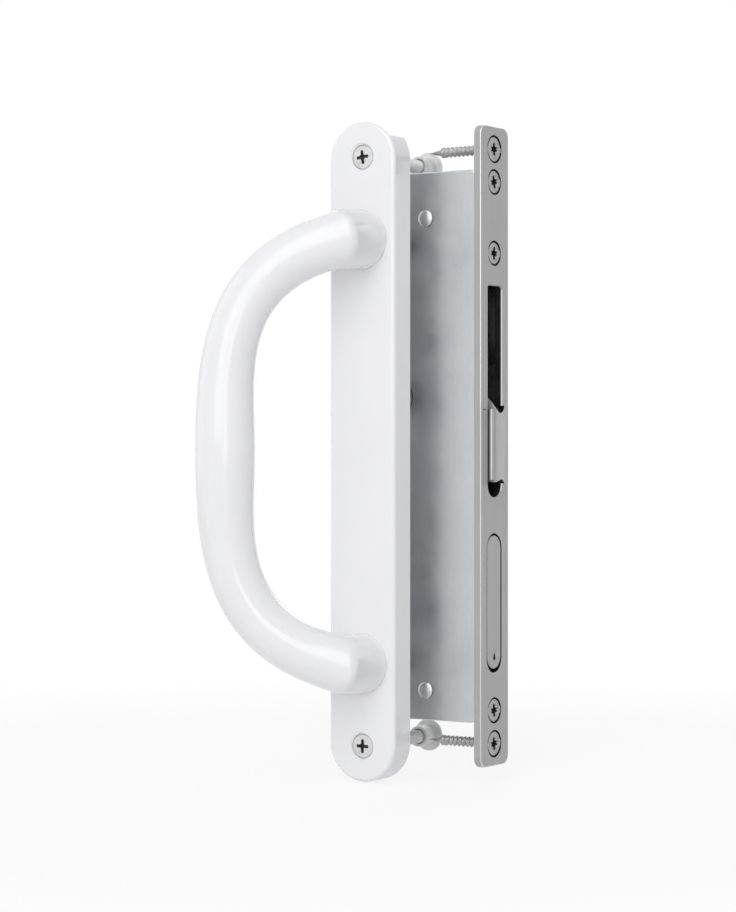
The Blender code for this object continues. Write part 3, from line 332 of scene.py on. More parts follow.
PLATE_LOW, PLATE_HIGH = box("backplate")
PLATE_WIDTH = PLATE_HIGH.x - PLATE_LOW.x
PLATE_FRONT = PLATE_LOW.y
FACE_LOW, FACE_HIGH = box("faceplate")
FACE_X = FACE_HIGH.x
CASE_LOW, CASE_HIGH = box("lock_case")
COVER_LOW, COVER_HIGH = box("case_cover")
ROSE_LOW, ROSE_HIGH = box("turn_rose")
ROSE_R = (ROSE_HIGH.x - ROSE_LOW.x) / 2
SPINDLE = middle("spindle")
GRIP_Z = middle("grip_screw_top").z
ELBOW_Z = GRIP_Z - ELBOW_DROP
FIXING_Z = middle("fixing_screw_top").z
HOOK_SLOT_HIGH = FACE_HIGH.z - HOOK_SLOT_INSET
TRIGGER_SLOT_LOW = FACE_LOW.z + TRIGGER_SLOT_INSET
ROOM_FRONT_Y = COVER_HIGH.y
ROOM_BACK_Y = CASE_HIGH.y - SHEET
FLANGE_X = CASE_HIGH.x - SHEET


# Mesh tools

def frame_along(axis):
    """Rotation that takes local Z to the named world axis."""
    if axis == "X":
        return Matrix(((0, 0, 1), (1, 0, 0), (0, 1, 0))).to_4x4()
    if axis == "Y":
        return Matrix(((0, 1, 0), (0, 0, 1), (1, 0, 0))).to_4x4()
    return Matrix.Identity(4)


def flat_pair(axis, first, second):
    """A pair in the plane across an axis, in the local order of frame_along."""
    return (second, first) if axis == "Y" else (first, second)


def arc(centre, radius, start, end, steps):
    turns = [radians(start + (end - start) * i / steps) for i in range(steps + 1)]
    return [(centre[0] + radius * cos(t), centre[1] + radius * sin(t)) for t in turns]


def stadium(width, low, high, centre=0.0, steps=SLOT_STEPS):
    radius = width / 2
    top = arc((centre, high - radius), radius, 0, 180, steps)
    return top + arc((centre, low + radius), radius, 180, 360, steps)


def round_box(left, low, right, high, radius, steps=14):
    corners = ((right - radius, high - radius), (left + radius, high - radius))
    corners += ((left + radius, low + radius), (right - radius, low + radius))
    points = []
    for turn, corner in enumerate(corners):
        points += arc(corner, radius, 90 * turn, 90 * turn + 90, steps)
    return points


def flowing(points):
    """A smooth line through points, ends kept."""
    knots = [Vector(p) for p in points]
    knots = [2 * knots[0] - knots[1]] + knots + [2 * knots[-1] - knots[-2]]
    line = []
    for before, start, end, after in zip(knots, knots[1:], knots[2:], knots[3:]):
        for step in range(FLOW_STEPS):
            t = step / FLOW_STEPS
            bend = (2 * before - 5 * start + 4 * end - after) * t * t
            bend += (3 * start - before - 3 * end + after) * t**3
            line.append(tuple(start + 0.5 * ((end - before) * t + bend)))
    return line + [tuple(knots[-2])]


def fillet(profile, size):
    """An open profile with its corners rounded, each by at most half of the shorter side beside it."""
    points = [Vector(p) for p in profile]
    line = [tuple(points[0])]
    for before, corner, after in zip(points, points[1:], points[2:]):
        reach = min(size, (corner - before).length / 2, (after - corner).length / 2)
        start = corner + (before - corner).normalized() * reach
        end = corner + (after - corner).normalized() * reach
        for step in range(FILLET_STEPS + 1):
            t = step / FILLET_STEPS
            line.append(tuple((1 - t) ** 2 * start + 2 * t * (1 - t) * corner + t * t * end))
    return line + [tuple(points[-1])]


def mesh_of(edit, coat):
    """A smooth-shaded mesh whose faces take the material with the number coat."""
    mesh = bpy.data.meshes.new("shape")
    bmesh.ops.recalc_face_normals(edit, faces=edit.faces)
    for face in edit.faces:
        face.smooth = True
        face.material_index = coat or face.material_index
    edit.to_mesh(mesh)
    edit.free()
    return mesh


def loft(rings, coat=0):
    """A closed skin over rings of points. A ring of one point is a pole, and an open end is capped."""
    edit = bmesh.new()
    made = [[edit.verts.new(point) for point in ring] for ring in rings]
    for near, far in zip(made, made[1:]):
        count = max(len(near), len(far))
        for i in range(count):
            j = (i + 1) % count
            corners = [near[i % len(near)], near[j % len(near)], far[j % len(far)], far[i % len(far)]]
            edit.faces.new(list(dict.fromkeys(corners)))
    for end in (made[0], made[-1]):
        if len(end) > 1:
            edit.faces.new(end)
    return mesh_of(edit, coat)


def full_turn(count):
    return [2 * pi * i / count for i in range(count)]


def circle(radius, height, sides):
    if radius < SAME:
        return [(0, 0, height)]
    return [(radius * cos(t), radius * sin(t), height) for t in full_turn(sides)]


def moved(mesh, axis, centre, turn=0.0, flip=False):
    """A mesh drawn about local Z, turned and set on a world axis at centre."""
    spin = Matrix.Rotation(radians(turn), 4, "Z")
    over = Matrix.Rotation(pi if flip else 0.0, 4, "X")
    mesh.transform(Matrix.Translation(centre) @ frame_along(axis) @ over @ spin)
    return mesh


def turned(profile, axis, centre, sides=ROUND_SIDES, coat=0):
    """A solid turned about an axis, from a profile of radius and height."""
    return moved(loft([circle(radius, height, sides) for radius, height in profile], coat), axis, centre)


def stepped(first, *parts):
    """Profile of a stepped rod: its first height, then each step's radius and the height where it ends."""
    profile = [(0, first)]
    for radius, end in zip(parts[::2], parts[1::2]):
        profile += [(radius, profile[-1][1]), (radius, end)]
    return profile + [(0, profile[-1][1])]


def rod(radius, axis, centre, low, high, sides=SMALL_SIDES):
    return turned(stepped(low, radius, high), axis, centre, sides)


def prism(outline, axis, low, high, round_low=0.0, round_high=0.0, steps=6, coat=0, rim=-1):
    """An outline drawn across an axis, extruded between two heights, with rounded rims.

    The rounded rims take the material with the number rim, all else the one with the number coat.
    """
    edit = bmesh.new()
    corners = [edit.verts.new((*flat_pair(axis, *pair), low)) for pair in outline]
    line = [edit.edges.new((a, b)) for a, b in zip(corners, corners[1:] + corners[:1])]
    face = bmesh.ops.contextual_create(edit, geom=line)["faces"]
    raised = bmesh.ops.extrude_face_region(edit, geom=face)["geom"]
    top = [part for part in raised if isinstance(part, bmesh.types.BMVert)]
    bmesh.ops.translate(edit, verts=top, vec=(0, 0, high - low))
    bmesh.ops.recalc_face_normals(edit, faces=edit.faces)
    for level, size in ((low, round_low), (high, round_high)):
        edges = [e for e in edit.edges if all(abs(v.co.z - level) < SAME for v in e.verts)]
        edges = [e for e in edges if e.calc_face_angle(0) > radians(RIM_ANGLE)]
        if size:
            shape = {"segments": steps, "profile": 0.5, "affect": "EDGES", "material": rim}
            bmesh.ops.bevel(edit, geom=edges, offset=size, **shape)
    bmesh.ops.transform(edit, matrix=frame_along(axis), verts=edit.verts)
    return mesh_of(edit, coat)


def block(low, high, coat=0):
    edit = bmesh.new()
    bmesh.ops.create_cube(edit, size=1.0)
    size = [b - a for a, b in zip(low, high)]
    centre = [(a + b) / 2 for a, b in zip(low, high)]
    placed = Matrix.Translation(centre) @ Matrix.Diagonal((*size, 1))
    bmesh.ops.transform(edit, matrix=placed, verts=edit.verts)
    return mesh_of(edit, coat)


def cross_cutters(axis, top, size, turn, flip, fork):
    """Cutters of a cross recess: tapered bars with round ends and a cone between them.

    A forked recess has two thin bars, a fork's angle to each side, in place of its level one.
    """
    half, wide, deep = size
    bars = [(90.0, half, wide), (0.0, half, wide)]
    if fork:
        long, broad = half * CROSS_FORK[0], wide * CROSS_FORK[1]
        bars = [(90.0, half, wide), (fork, long, broad), (-fork, long, broad)]
    levels = [(CROSS_MOUTH, OVER)] + [(share, -depth * deep) for share, depth in CROSS_TAPER]
    cutters = []
    for angle, long, broad in bars:
        rings = []
        for share, level in levels:
            reach, side = long * share, broad / 2 * share**CROSS_NARROWS
            bar = round_box(-reach, -side, reach, side, broad * CROSS_CORNER, CROSS_STEPS)
            rings.append([(x, y, level) for x, y in bar])
        cutters.append(moved(loft(rings, 1), axis, top, turn + angle, flip))
    cone = [(0, OVER), (wide * CONE_MOUTH, OVER)]
    cone += [(wide * share, -deep * depth) for share, depth in CONE_TAPER]
    cone = loft([circle(radius, height, CONE_SIDES) for radius, height in cone], 1)
    return cutters + [moved(cone, axis, top, turn, flip)]


def threaded(head, thread, length):
    """Rings of a screw that hangs from the origin: its head's profile, a threaded shank and its tip."""
    rings = [circle(radius, height, THREAD_SIDES) for radius, height in head]
    start, end = -thread.start, thread.point - length
    count = int((start - end) / thread.pitch * THREAD_STEPS)
    for step in range(count + 1):
        height = start + (end - start) * step / count
        fade = min(1.0, THREAD_FADE * step / count, THREAD_FADE * (count - step) / count)
        ring = []
        for i, turn in enumerate(full_turn(THREAD_SIDES)):
            share = (height / thread.pitch + i / THREAD_SIDES) % 1.0
            ridge = max(0.0, 1.0 - THREAD_FLANK * abs(share - 0.5))
            reach = thread.radius - thread.depth * fade * (1.0 - ridge)
            ring.append((reach * cos(turn), reach * sin(turn), height))
        rings.append(ring)
    foot = end if thread.pointed else -length
    return rings + [circle(thread.tip, foot, THREAD_SIDES), circle(0, -length, THREAD_SIDES)]


def put(name, data):
    """A new object in the scene."""
    thing = bpy.data.objects.new(name, data)
    bpy.context.scene.collection.objects.link(thing)
    return thing


def piece(name, mesh, body, look, centre=(0, 0, 0), cuts=(), joins=(), soft=0.0, steps=2, crease=CREASE):
    """A finished piece that stands for the node of its name.

    It is cut, joined, softened at its edges and set on its body. A cut with coat 1 or 2 leaves faces of
    the second or third look.
    """
    thing = put(name + "_fine", mesh)
    looks = look if isinstance(look, tuple) else (look,)
    helpers = []
    for operation, meshes in (("UNION", joins), ("DIFFERENCE", cuts)):
        for other in meshes:
            helper = put("helper", other)
            helpers.append(helper)
            step = thing.modifiers.new("shape", "BOOLEAN")
            step.operation = operation
            step.solver = "EXACT"
            step.material_mode = "INDEX"
            step.object = helper
    if soft:
        edge = thing.modifiers.new("soft", "BEVEL")
        edge.width = soft
        edge.segments = steps
        edge.limit_method = "ANGLE"
        edge.angle_limit = radians(crease)
    for entry in [mesh] + [helper.data for helper in helpers]:
        for material in looks:
            entry.materials.append(material)
    bpy.context.view_layer.update()
    graph = bpy.context.evaluated_depsgraph_get()
    shape = bpy.data.meshes.new_from_object(thing.evaluated_get(graph))
    thing.modifiers.clear()
    for helper in helpers:
        bpy.data.objects.remove(helper)
    shape.transform(Matrix.Scale(MM, 4) @ Matrix.Translation(-Vector(centre)))
    shape.set_sharp_from_angle(angle=radians(crease))
    thing.data = shape
    thing.location = Vector(centre) * MM
    normals = thing.modifiers.new("normals", "WEIGHTED_NORMAL")
    normals.keep_sharp = True
    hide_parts(name)
    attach(thing, body)
    return thing


def screw(node, shape, top, looks, cross, turn, axis="Y", flip=False, fork=0.0, soft=0.0):
    """A screw with a cross recess. Its shape is its head's profile, its thread and its length."""
    mesh = moved(loft(threaded(*shape)), axis, top, 0.0, flip)
    return piece(node, mesh, "set", looks, top, cross_cutters(axis, top, cross, turn, flip, fork), soft=soft)


# Materials

class Nodes:
    """A node tree, with short calls for the nodes that the looks and the sky use."""

    def __init__(self, tree):
        self.tree = tree

    def node(self, kind, **settings):
        made = self.tree.nodes.new("ShaderNode" + kind)
        for key, value in settings.items():
            setattr(made, key, value)
        return made

    def plug(self, value, socket):
        """Link what comes from another node, or set a plain value."""
        if isinstance(value, bpy.types.NodeSocket):
            self.tree.links.new(value, socket)
        else:
            socket.default_value = value

    def feed(self, made, **values):
        for key, value in values.items():
            self.plug(value, made.inputs[key.replace("_", " ")])
        return made.outputs

    def combine(self, operation, first, second=0.0):
        made = self.node("Math", operation=operation)
        self.plug(first, made.inputs[0])
        self.plug(second, made.inputs[1])
        return made.outputs["Value"]

    def ranged(self, value, low, high, to_low, to_high):
        made = self.node("MapRange")
        ends = {"From_Min": low, "From_Max": high, "To_Min": to_low, "To_Max": to_high}
        return self.feed(made, Value=value, **ends)["Result"]

    def seen(self):
        """1 for what is looked at, also in a mirror or through glass, and 0 for what only gives light."""
        path = self.node("LightPath").outputs
        seen = self.combine("MAXIMUM", path["Is Camera Ray"], path["Is Glossy Ray"])
        return self.combine("MAXIMUM", seen, path["Is Transmission Ray"])


class Look(Nodes):
    """A material under construction. Its scales are per metre and its relief is in metres."""

    def __init__(self, name, colour, metallic, roughness):
        self.material = bpy.data.materials.new(name)
        self.material.use_nodes = True
        super().__init__(self.material.node_tree)
        self.shader = self.tree.nodes["Principled BSDF"]
        self.feed(self.shader, Base_Color=(*colour, 1.0), Metallic=metallic, Roughness=roughness)
        self.place = self.node("TexCoord").outputs["Object"]

    def stretched(self, scale):
        return self.feed(self.node("Mapping"), Vector=self.place, Scale=scale)["Vector"]

    def noise(self, scale, detail=2.0, roughness=0.5, place=None):
        made = self.node("TexNoise")
        place = place or self.place
        return self.feed(made, Vector=place, Scale=scale, Detail=detail, Roughness=roughness)["Fac"]

    def cells(self, scale, feature="F1"):
        made = self.node("TexVoronoi", feature=feature)
        return self.feed(made, Vector=self.place, Scale=scale)

    def parts(self, vector):
        return self.feed(self.node("SeparateXYZ"), Vector=vector)

    def length(self, vector):
        return self.feed(self.node("VectorMath", operation="LENGTH"), Vector=vector)["Value"]

    def tint(self, share, first, second):
        made = self.node("Mix", data_type="RGBA")
        self.plug(share, made.inputs["Factor"])
        for value, socket in ((first, made.inputs[6]), (second, made.inputs[7])):
            self.plug((*value, 1.0) if isinstance(value, tuple) else value, socket)
        return made.outputs[2]

    def blend(self, value, low, high, tones):
        """Two tones, mixed by where a value lies between low and high."""
        return self.tint(self.ranged(value, low, high, 0.0, 1.0), *tones)

    def relief(self, height, depth, strength, under=None):
        made = self.node("Bump")
        if under:
            self.plug(under, made.inputs["Normal"])
        return self.feed(made, Height=height, Distance=depth, Strength=strength)["Normal"]

    def done(self, colour, gloss, normal, **inputs):
        self.feed(self.shader, Base_Color=colour, Roughness=gloss, Normal=normal, **inputs)
        return self.material


def toned(tone, shares):
    return tuple(tone * share for share in shares)


def enamel_look():
    """Gloss white enamel: a faint orange peel, soft clouds in its colour and a few dust nibs."""
    look = Look("gloss_white_enamel", (0.865, 0.867, 0.89), 0.0, 0.2)
    colour = look.blend(look.noise(38.0, 3.0), 0.35, 0.65, ENAMEL_TONES)
    nib = look.ranged(look.cells(210.0)["Distance"], 0.02, 0.05, 1.0, 0.0)
    rare = look.ranged(look.noise(31.0, 1.0), 0.6, 0.66, 0.0, 1.0)
    dust = look.combine("MULTIPLY", nib, rare)
    colour = look.tint(look.combine("MULTIPLY", dust, 0.35), colour, DUST)
    gloss = look.ranged(look.noise(120.0, 3.0), 0.3, 0.7, 0.09, 0.15)
    peel = look.relief(look.noise(430.0, 1.5), 0.00002, 0.7)
    wave = look.relief(look.noise(70.0, 1.0), 0.00006, 0.35, peel)
    raised = look.relief(dust, 0.00006, 0.8, wave)
    return look.done(colour, gloss, raised, Coat_Weight=0.3, Coat_Roughness=0.04)


def brushed_look(name, grain, tone, rough, metallic):
    """Stainless steel brushed along one axis, given by how far each axis of the grain is drawn out."""
    look = Look(name, (tone, tone, tone), metallic, rough)
    fine = look.noise(1.0, 3.0, 0.65, look.stretched(grain))
    broad = look.noise(1.0, 2.0, 0.5, look.stretched([share * 0.22 for share in grain]))
    cloud = look.noise(45.0)
    fine = look.combine("MULTIPLY", fine, 0.65)
    lines = look.combine("ADD", fine, look.combine("MULTIPLY", broad, 0.35))
    colour = look.blend(lines, 0.3, 0.7, (toned(tone, BRUSH_DARK), toned(tone, BRUSH_LIGHT)))
    smear = look.ranged(cloud, 0.5, 0.75, 0.0, 0.25)
    colour = look.tint(smear, colour, toned(tone, BRUSH_SMEAR))
    gloss = look.ranged(look.combine("ADD", lines, cloud), 0.7, 1.3, rough - 0.07, rough + 0.09)
    marks = look.cells(95.0, "DISTANCE_TO_EDGE")
    scratch = look.ranged(marks["Distance"], 0.0, 0.012, 1.0, 0.0)
    rare = look.ranged(look.noise(60.0, 1.0), 0.6, 0.68, 0.0, 1.0)
    scored = look.relief(look.combine("MULTIPLY", scratch, rare), -0.00003, 0.5)
    return look.done(colour, gloss, look.relief(lines, 0.00003, 0.8, scored))


def zinc_look():
    """Bright zinc plate over rolled sheet: clouded, with a faint bluish and straw passivation."""
    look = Look("bright_zinc", (0.6, 0.62, 0.64), 1.0, 0.36)
    cloud = look.noise(55.0, 4.0, 0.6)
    grain = look.noise(1.0, 3.0, 0.6, look.stretched((900.0, 900.0, 160.0)))
    colour = look.blend(cloud, 0.35, 0.65, ZINC_TONES)
    colour = look.tint(look.ranged(grain, 0.3, 0.7, 0.0, 0.3), colour, ZINC_STREAK)
    spangle = look.feed(look.node("SeparateColor"), Color=look.cells(260.0)["Color"])
    spangle = look.combine("MULTIPLY", spangle["Red"], 0.06)
    gloss = look.combine("ADD", look.ranged(cloud, 0.3, 0.7, 0.26, 0.4), spangle)
    relief = look.relief(grain, 0.00002, 0.6)
    return look.done(colour, gloss, look.relief(look.noise(1500.0), 0.000008, 0.6, relief))


def screw_look(name, axis, tone, rough, metallic):
    """Bright plated steel with turning marks round the piece's own axis."""
    look = Look(name, (tone, tone, tone), metallic, rough)
    out = look.length(look.stretched((0, 1, 1) if axis == "X" else (1, 0, 1)))
    wobble = look.combine("MULTIPLY", look.noise(420.0), 9.0)
    phase = look.combine("ADD", look.combine("MULTIPLY", out, 26000.0), wobble)
    ring = look.ranged(look.combine("SINE", phase), -1.0, 1.0, 0.0, 1.0)
    cloud = look.noise(300.0, 3.0)
    colour = look.blend(cloud, 0.35, 0.7, (toned(tone, SCREW_BRIGHT), toned(tone, SCREW_DULL)))
    gloss = look.ranged(cloud, 0.3, 0.7, rough - 0.06, rough + 0.06)
    gloss = look.combine("ADD", gloss, look.combine("MULTIPLY", ring, 0.04))
    relief = look.relief(ring, 0.000006, 0.5)
    return look.done(colour, gloss, look.relief(look.noise(2600.0), 0.000006, 0.5, relief))


def painted_shade_look():
    """Painted shade: near black, for the inside of the case, the slots, the bores and other hollows."""
    look = Look("dark_painted_shade", (0.02, 0.02, 0.02), 0.0, 0.6)
    shade_cloud = look.noise(220.0, 4.0, 0.6)
    # painted shade, its tone varied by noise
    colour = look.blend(shade_cloud, 0.3, 0.75, PAINTED_SHADE_TONES)
    gloss = look.ranged(shade_cloud, 0.3, 0.7, 0.5, 0.75)
    return look.done(colour, gloss, look.relief(shade_cloud, 0.00008, 0.6), Specular_IOR_Level=0.15)


def carrier_look():
    """Painted shade on the carrier's flat front and painted light on the slope beside the hook.

    The slope is grey, then a bright painted highlight, then grey again where it meets the hook.
    """
    look = Look("carrier_painted_light", (0.1, 0.1, 0.1), 0.2, 0.45)
    shade_cloud = look.noise(240.0, 4.0, 0.6)
    grain = look.noise(1.0, 3.0, 0.6, look.stretched((1200.0, 1200.0, 80.0)))
    # painted shade, near black, on the nose's flat front
    colour = look.blend(shade_cloud, 0.3, 0.75, PAINTED_SHADE_TONES)
    spot = look.parts(look.place)
    along = look.combine("ADD", spot["X"], spot["Y"])
    front = look.ranged(spot["X"], (NOSE_FRONT_X - 0.2) * MM, (NOSE_FRONT_X - 0.1) * MM, 0.0, 1.0)
    # painted bands of shade and highlight on the slope
    for start, dark, light in NOSE_LIGHT_BANDS:
        tone = look.blend(grain, 0.3, 0.7, ((dark, dark, dark), (light, light, light)))
        share = look.ranged(along, (start - NOSE_BLEND) * MM, (start + NOSE_BLEND) * MM, 0.0, 1.0)
        colour = look.tint(look.combine("MULTIPLY", share, front), colour, tone)
    gloss = look.ranged(shade_cloud, 0.3, 0.7, 0.4, 0.55)
    return look.done(colour, gloss, look.relief(grain, 0.00002, 0.6))


def hook_edge_shade_look():
    """The hook's edges: painted shade, near black, with the fine cross grain of a sheared face."""
    look = Look("hook_edge_painted_shade", (0.03, 0.03, 0.03), 0.0, 0.6)
    grain = look.noise(1.0, 3.0, 0.6, look.stretched((900.0, 90.0, 900.0)))
    # painted shade, its tone varied by the grain
    colour = look.blend(grain, 0.35, 0.65, HOOK_EDGE_SHADE_TONES)
    gloss = look.ranged(grain, 0.3, 0.7, 0.45, 0.65)
    return look.done(colour, gloss, look.relief(grain, 0.00003, 0.7), Specular_IOR_Level=0.0)


def recess_look():
    """A screw's recess: painted shade, near black, with a painted glint on the walls that face back along X.
    """
    look = Look("recess_steel", (0.06, 0.06, 0.058), 0.7, 0.5)
    shade_noise = look.noise(900.0, 4.0, 0.6)
    # painted shade, its tone varied by noise
    colour = look.blend(shade_noise, 0.35, 0.65, RECESS_SHADE_TONES)
    facing = look.parts(look.node("NewGeometry").outputs["True Normal"])
    # painted glint on the walls whose normal points back along X
    colour = look.blend(facing["X"], -0.5, -0.8, (colour, RECESS_GLINT))
    gloss = look.ranged(shade_noise, 0.3, 0.7, 0.36, 0.62)
    return look.done(colour, gloss, look.relief(shade_noise, 0.00002, 0.6))


def floor_look():
    """A pale floor that is seen as plain white where no shadow lies."""
    look = Look("pale_floor", (0.9, 0.9, 0.9), 0.0, 0.7)
    colour = look.tint(look.noise(2.0), *FLOOR_TONES)
    share = look.ranged(look.length(look.place), FLOOR_NEAR, FLOOR_FAR, FLOOR_WHITE, 1.0)
    white = look.node("Emission")
    mixed = look.node("MixShader")
    look.plug(look.combine("MULTIPLY", share, look.seen()), mixed.inputs[0])
    look.plug(look.shader.outputs["BSDF"], mixed.inputs[1])
    look.plug(white.outputs["Emission"], mixed.inputs[2])
    look.plug(mixed.outputs["Shader"], look.tree.nodes["Material Output"].inputs["Surface"])
    look.feed(look.shader, Base_Color=colour)
    return look.material


# Pieces

def build_backplate():
    outline = stadium(PLATE_WIDTH, PLATE_LOW.z, PLATE_HIGH.z, steps=PLATE_STEPS)
    body = prism(outline, "Y", PLATE_FRONT, 0, round_low=PLATE_ROUND, steps=RIM_STEPS)
    cuts = []
    half = PLATE_WIDTH / 2 - PLATE_WALL
    top = GRIP_Z - POCKET_CLEAR
    low_boss = SPINDLE.z - BOSS_BELOW
    rib = (low_boss - top) / 2
    pockets = ((SPINDLE.z + BOSS_ABOVE, top), (rib + PLATE_RIB / 2, low_boss), (-top, rib - PLATE_RIB / 2))
    for low, high in pockets:
        pocket = round_box(-half, low, half, high, POCKET_CORNER, RIM_STEPS)
        cuts.append(prism(pocket, "Y", PLATE_FRONT + PLATE_SKIN, OVER))
    floor, front = PLATE_FRONT + FIXING_RECESS_DEPTH, PLATE_FRONT - OVER
    fixing = stepped(OVER, FIXING_BORE_R, floor, FIXING_SEAT_R, PLATE_FRONT + FIXING_MOUTH)
    fixing[-1:] = [(FIXING_RECESS_R, PLATE_FRONT), (FIXING_RECESS_R, front), (0, front)]
    grip = stepped(OVER, GRIP_SEAT_R, -GRIP_COUNTERBORE, GRIP_BORE_R, front)
    for side in (1, -1):
        cuts.append(turned(fixing, "Y", (0, 0, side * FIXING_Z), SMALL_SIDES))
        cuts.append(turned(grip, "Y", (0, 0, side * GRIP_Z), SMALL_SIDES))
    cuts.append(rod(BEARING_R, "Y", (0, 0, SPINDLE.z), -BEARING_DEPTH, OVER))
    piece("backplate", body, "set", ENAMEL, cuts=cuts, soft=PLATE_SOFT, steps=3)


def arm_point(share):
    """Point and direction of the upper arm's centreline, as reach and height, for a share from 0 to 1."""
    fall = radians(GRIP_FALL)
    start = Vector((0, ELBOW_Z))
    guides = (start, start + GRIP_ARM * Vector((cos(fall), -sin(fall))))
    guides += (Vector((GRIP_REACH, GRIP_SHOULDER)), Vector((GRIP_REACH, 0)))
    rest = 1 - share
    weights = (rest**3, 3 * rest**2 * share, 3 * rest * share**2, share**3)
    point = sum((w * g for w, g in zip(weights, guides)), Vector((0, 0)))
    slopes = (rest**2, 2 * rest * share, share**2)
    legs = [b - a for a, b in zip(guides, guides[1:])]
    return point, sum((w * leg for w, leg in zip(slopes, legs)), Vector((0, 0))).normalized()


def arm_radius(share):
    swell = share**2 * (3 - 2 * share)
    waist = 16 * share**2 * (1 - share) ** 2
    return ARM_R + (MIDDLE_R - ARM_R) * swell - ARM_WAIST * waist


def grip_rings():
    """Rings of the upper half of the grip: stub, mitred elbow turning on a small arc, then the arm."""
    tilt = radians(GRIP_TILT)
    out = Vector((-cos(tilt), -sin(tilt), 0))
    up = Vector((0, 0, 1))
    foot_y = PLATE_FRONT - FOOT_GAP
    corner = Vector((0, PLATE_FRONT - ELBOW_HEIGHT, ELBOW_Z))
    into = Vector((0, -1, 0))
    slope = arm_point(0.0)[1]
    leave = slope.x * out + slope.y * up
    bend = into.angle(leave)
    side = into.cross(leave).normalized()
    before = side.cross(into)
    after = side.cross(leave)
    mitre = (before + after) / (1 + before.dot(after))
    inward = (leave - cos(bend) * into) / sin(bend)
    lead = ELBOW_FILLET * tan(bend / 2)
    angles = full_turn(GRIP_SIDES)
    rings = []
    for height, radius in STUB_RADII:
        centre = Vector((0, foot_y - height, GRIP_Z))
        rings.append([centre + radius * (cos(a) * side + sin(a) * before) for a in angles])
    for step in range(ELBOW_STEPS + 1):
        turn = bend * step / ELBOW_STEPS
        shift = (ELBOW_FILLET * sin(turn) - lead) * into
        shift += ELBOW_FILLET * (1 - cos(turn)) * inward
        radius = ELBOW_R + (ARM_R - ELBOW_R) * 0.5 * step / ELBOW_STEPS
        rings.append([corner + shift + radius * (cos(a) * side + sin(a) * mitre) for a in angles])
    across = out.cross(up)
    phase = atan2(side.dot(across.cross(leave)), side.dot(across))
    clear = lead + ELBOW_R * tan(bend / 2) + ELBOW_CLEAR
    start = clear / (3 * GRIP_ARM)
    turns = [a + phase for a in angles]
    for step in range(ARM_STEPS + 1):
        share = start + (1 - start) * step / ARM_STEPS
        point, slope = arm_point(share)
        heading = slope.x * out + slope.y * up
        centre = Vector((corner.x, corner.y, 0)) + point.x * out + point.y * up
        level = across.cross(heading)
        radius = arm_radius(share)
        rings.append([centre + radius * (cos(t) * across + sin(t) * level) for t in turns])
    return rings


def build_grip():
    half = grip_rings()
    lower = [[Vector((p.x, p.y, -p.z)) for p in ring] for ring in reversed(half[:-1])]
    piece("pull_grip", loft(half + lower), "set", ENAMEL, crease=SMOOTH_CREASE)


def build_grip_screws():
    for end, side in (("top", 1), ("bottom", -1)):
        low, high = box("grip_screw_" + end)
        top = Vector((0, high.y, side * GRIP_Z))
        shape = (fillet(GRIP_SCREW_HEAD, 0.5), GRIP_THREAD, high.y - low.y)
        screw("grip_screw_" + end, shape, top, (SCREW_Y, RECESS), GRIP_CROSS, GRIP_CROSS_TURN * side)


def build_fixing_screws():
    for (end, side), turn in zip((("top", 1), ("bottom", -1)), FIXING_TURNS):
        low, high = box("fixing_screw_" + end)
        top = Vector((0, low.y + FIXING_SUNK, side * FIXING_Z))
        wide, shank = high.x, FIXING_THREAD.radius
        head = [(0, 0), FIXING_CROWN] + [(wide - inward, level) for inward, level in FIXING_RIM]
        head += [(wide, -FIXING_HEAD), (shank, -FIXING_HEAD), (shank, -FIXING_HEAD - FIXING_NECK)]
        shape = (fillet(head, 0.2), FIXING_THREAD, high.y - top.y)
        rest = {"flip": True, "soft": 0.07}
        screw("fixing_screw_" + end, shape, top, (SCREW_Y, RECESS), FIXING_CROSS, turn, **rest)


def build_sleeve_nuts():
    for end, side in (("top", 1), ("bottom", -1)):
        low, high = box("sleeve_nut_" + end)
        centre = Vector((0, high.y, side * FIXING_Z))
        wide, deep = high.x, low.y - high.y
        profile = ((0, 0), (wide - NUT_CROWN[0], 0), (wide, -NUT_CROWN[1]), (wide, -NUT_FLANGE))
        profile += ((NUT_BARREL_R, -NUT_FLANGE), (NUT_BARREL_R, deep))
        profile += ((NUT_BORE_R, deep), (NUT_BORE_R, -NUT_CAP), (0, -NUT_CAP))
        reach, half = wide + OVER, NUT_SLOT / 2
        corner = (reach, high.y + OVER, centre.z + half)
        slot = block((-reach, high.y - NUT_SLOT_DEPTH, centre.z - half), corner)
        mesh = turned(fillet(profile, 0.35), "Y", centre)
        piece("sleeve_nut_" + end, mesh, "set", (SCREW_Y, RECESS), centre, [slot], soft=0.1)


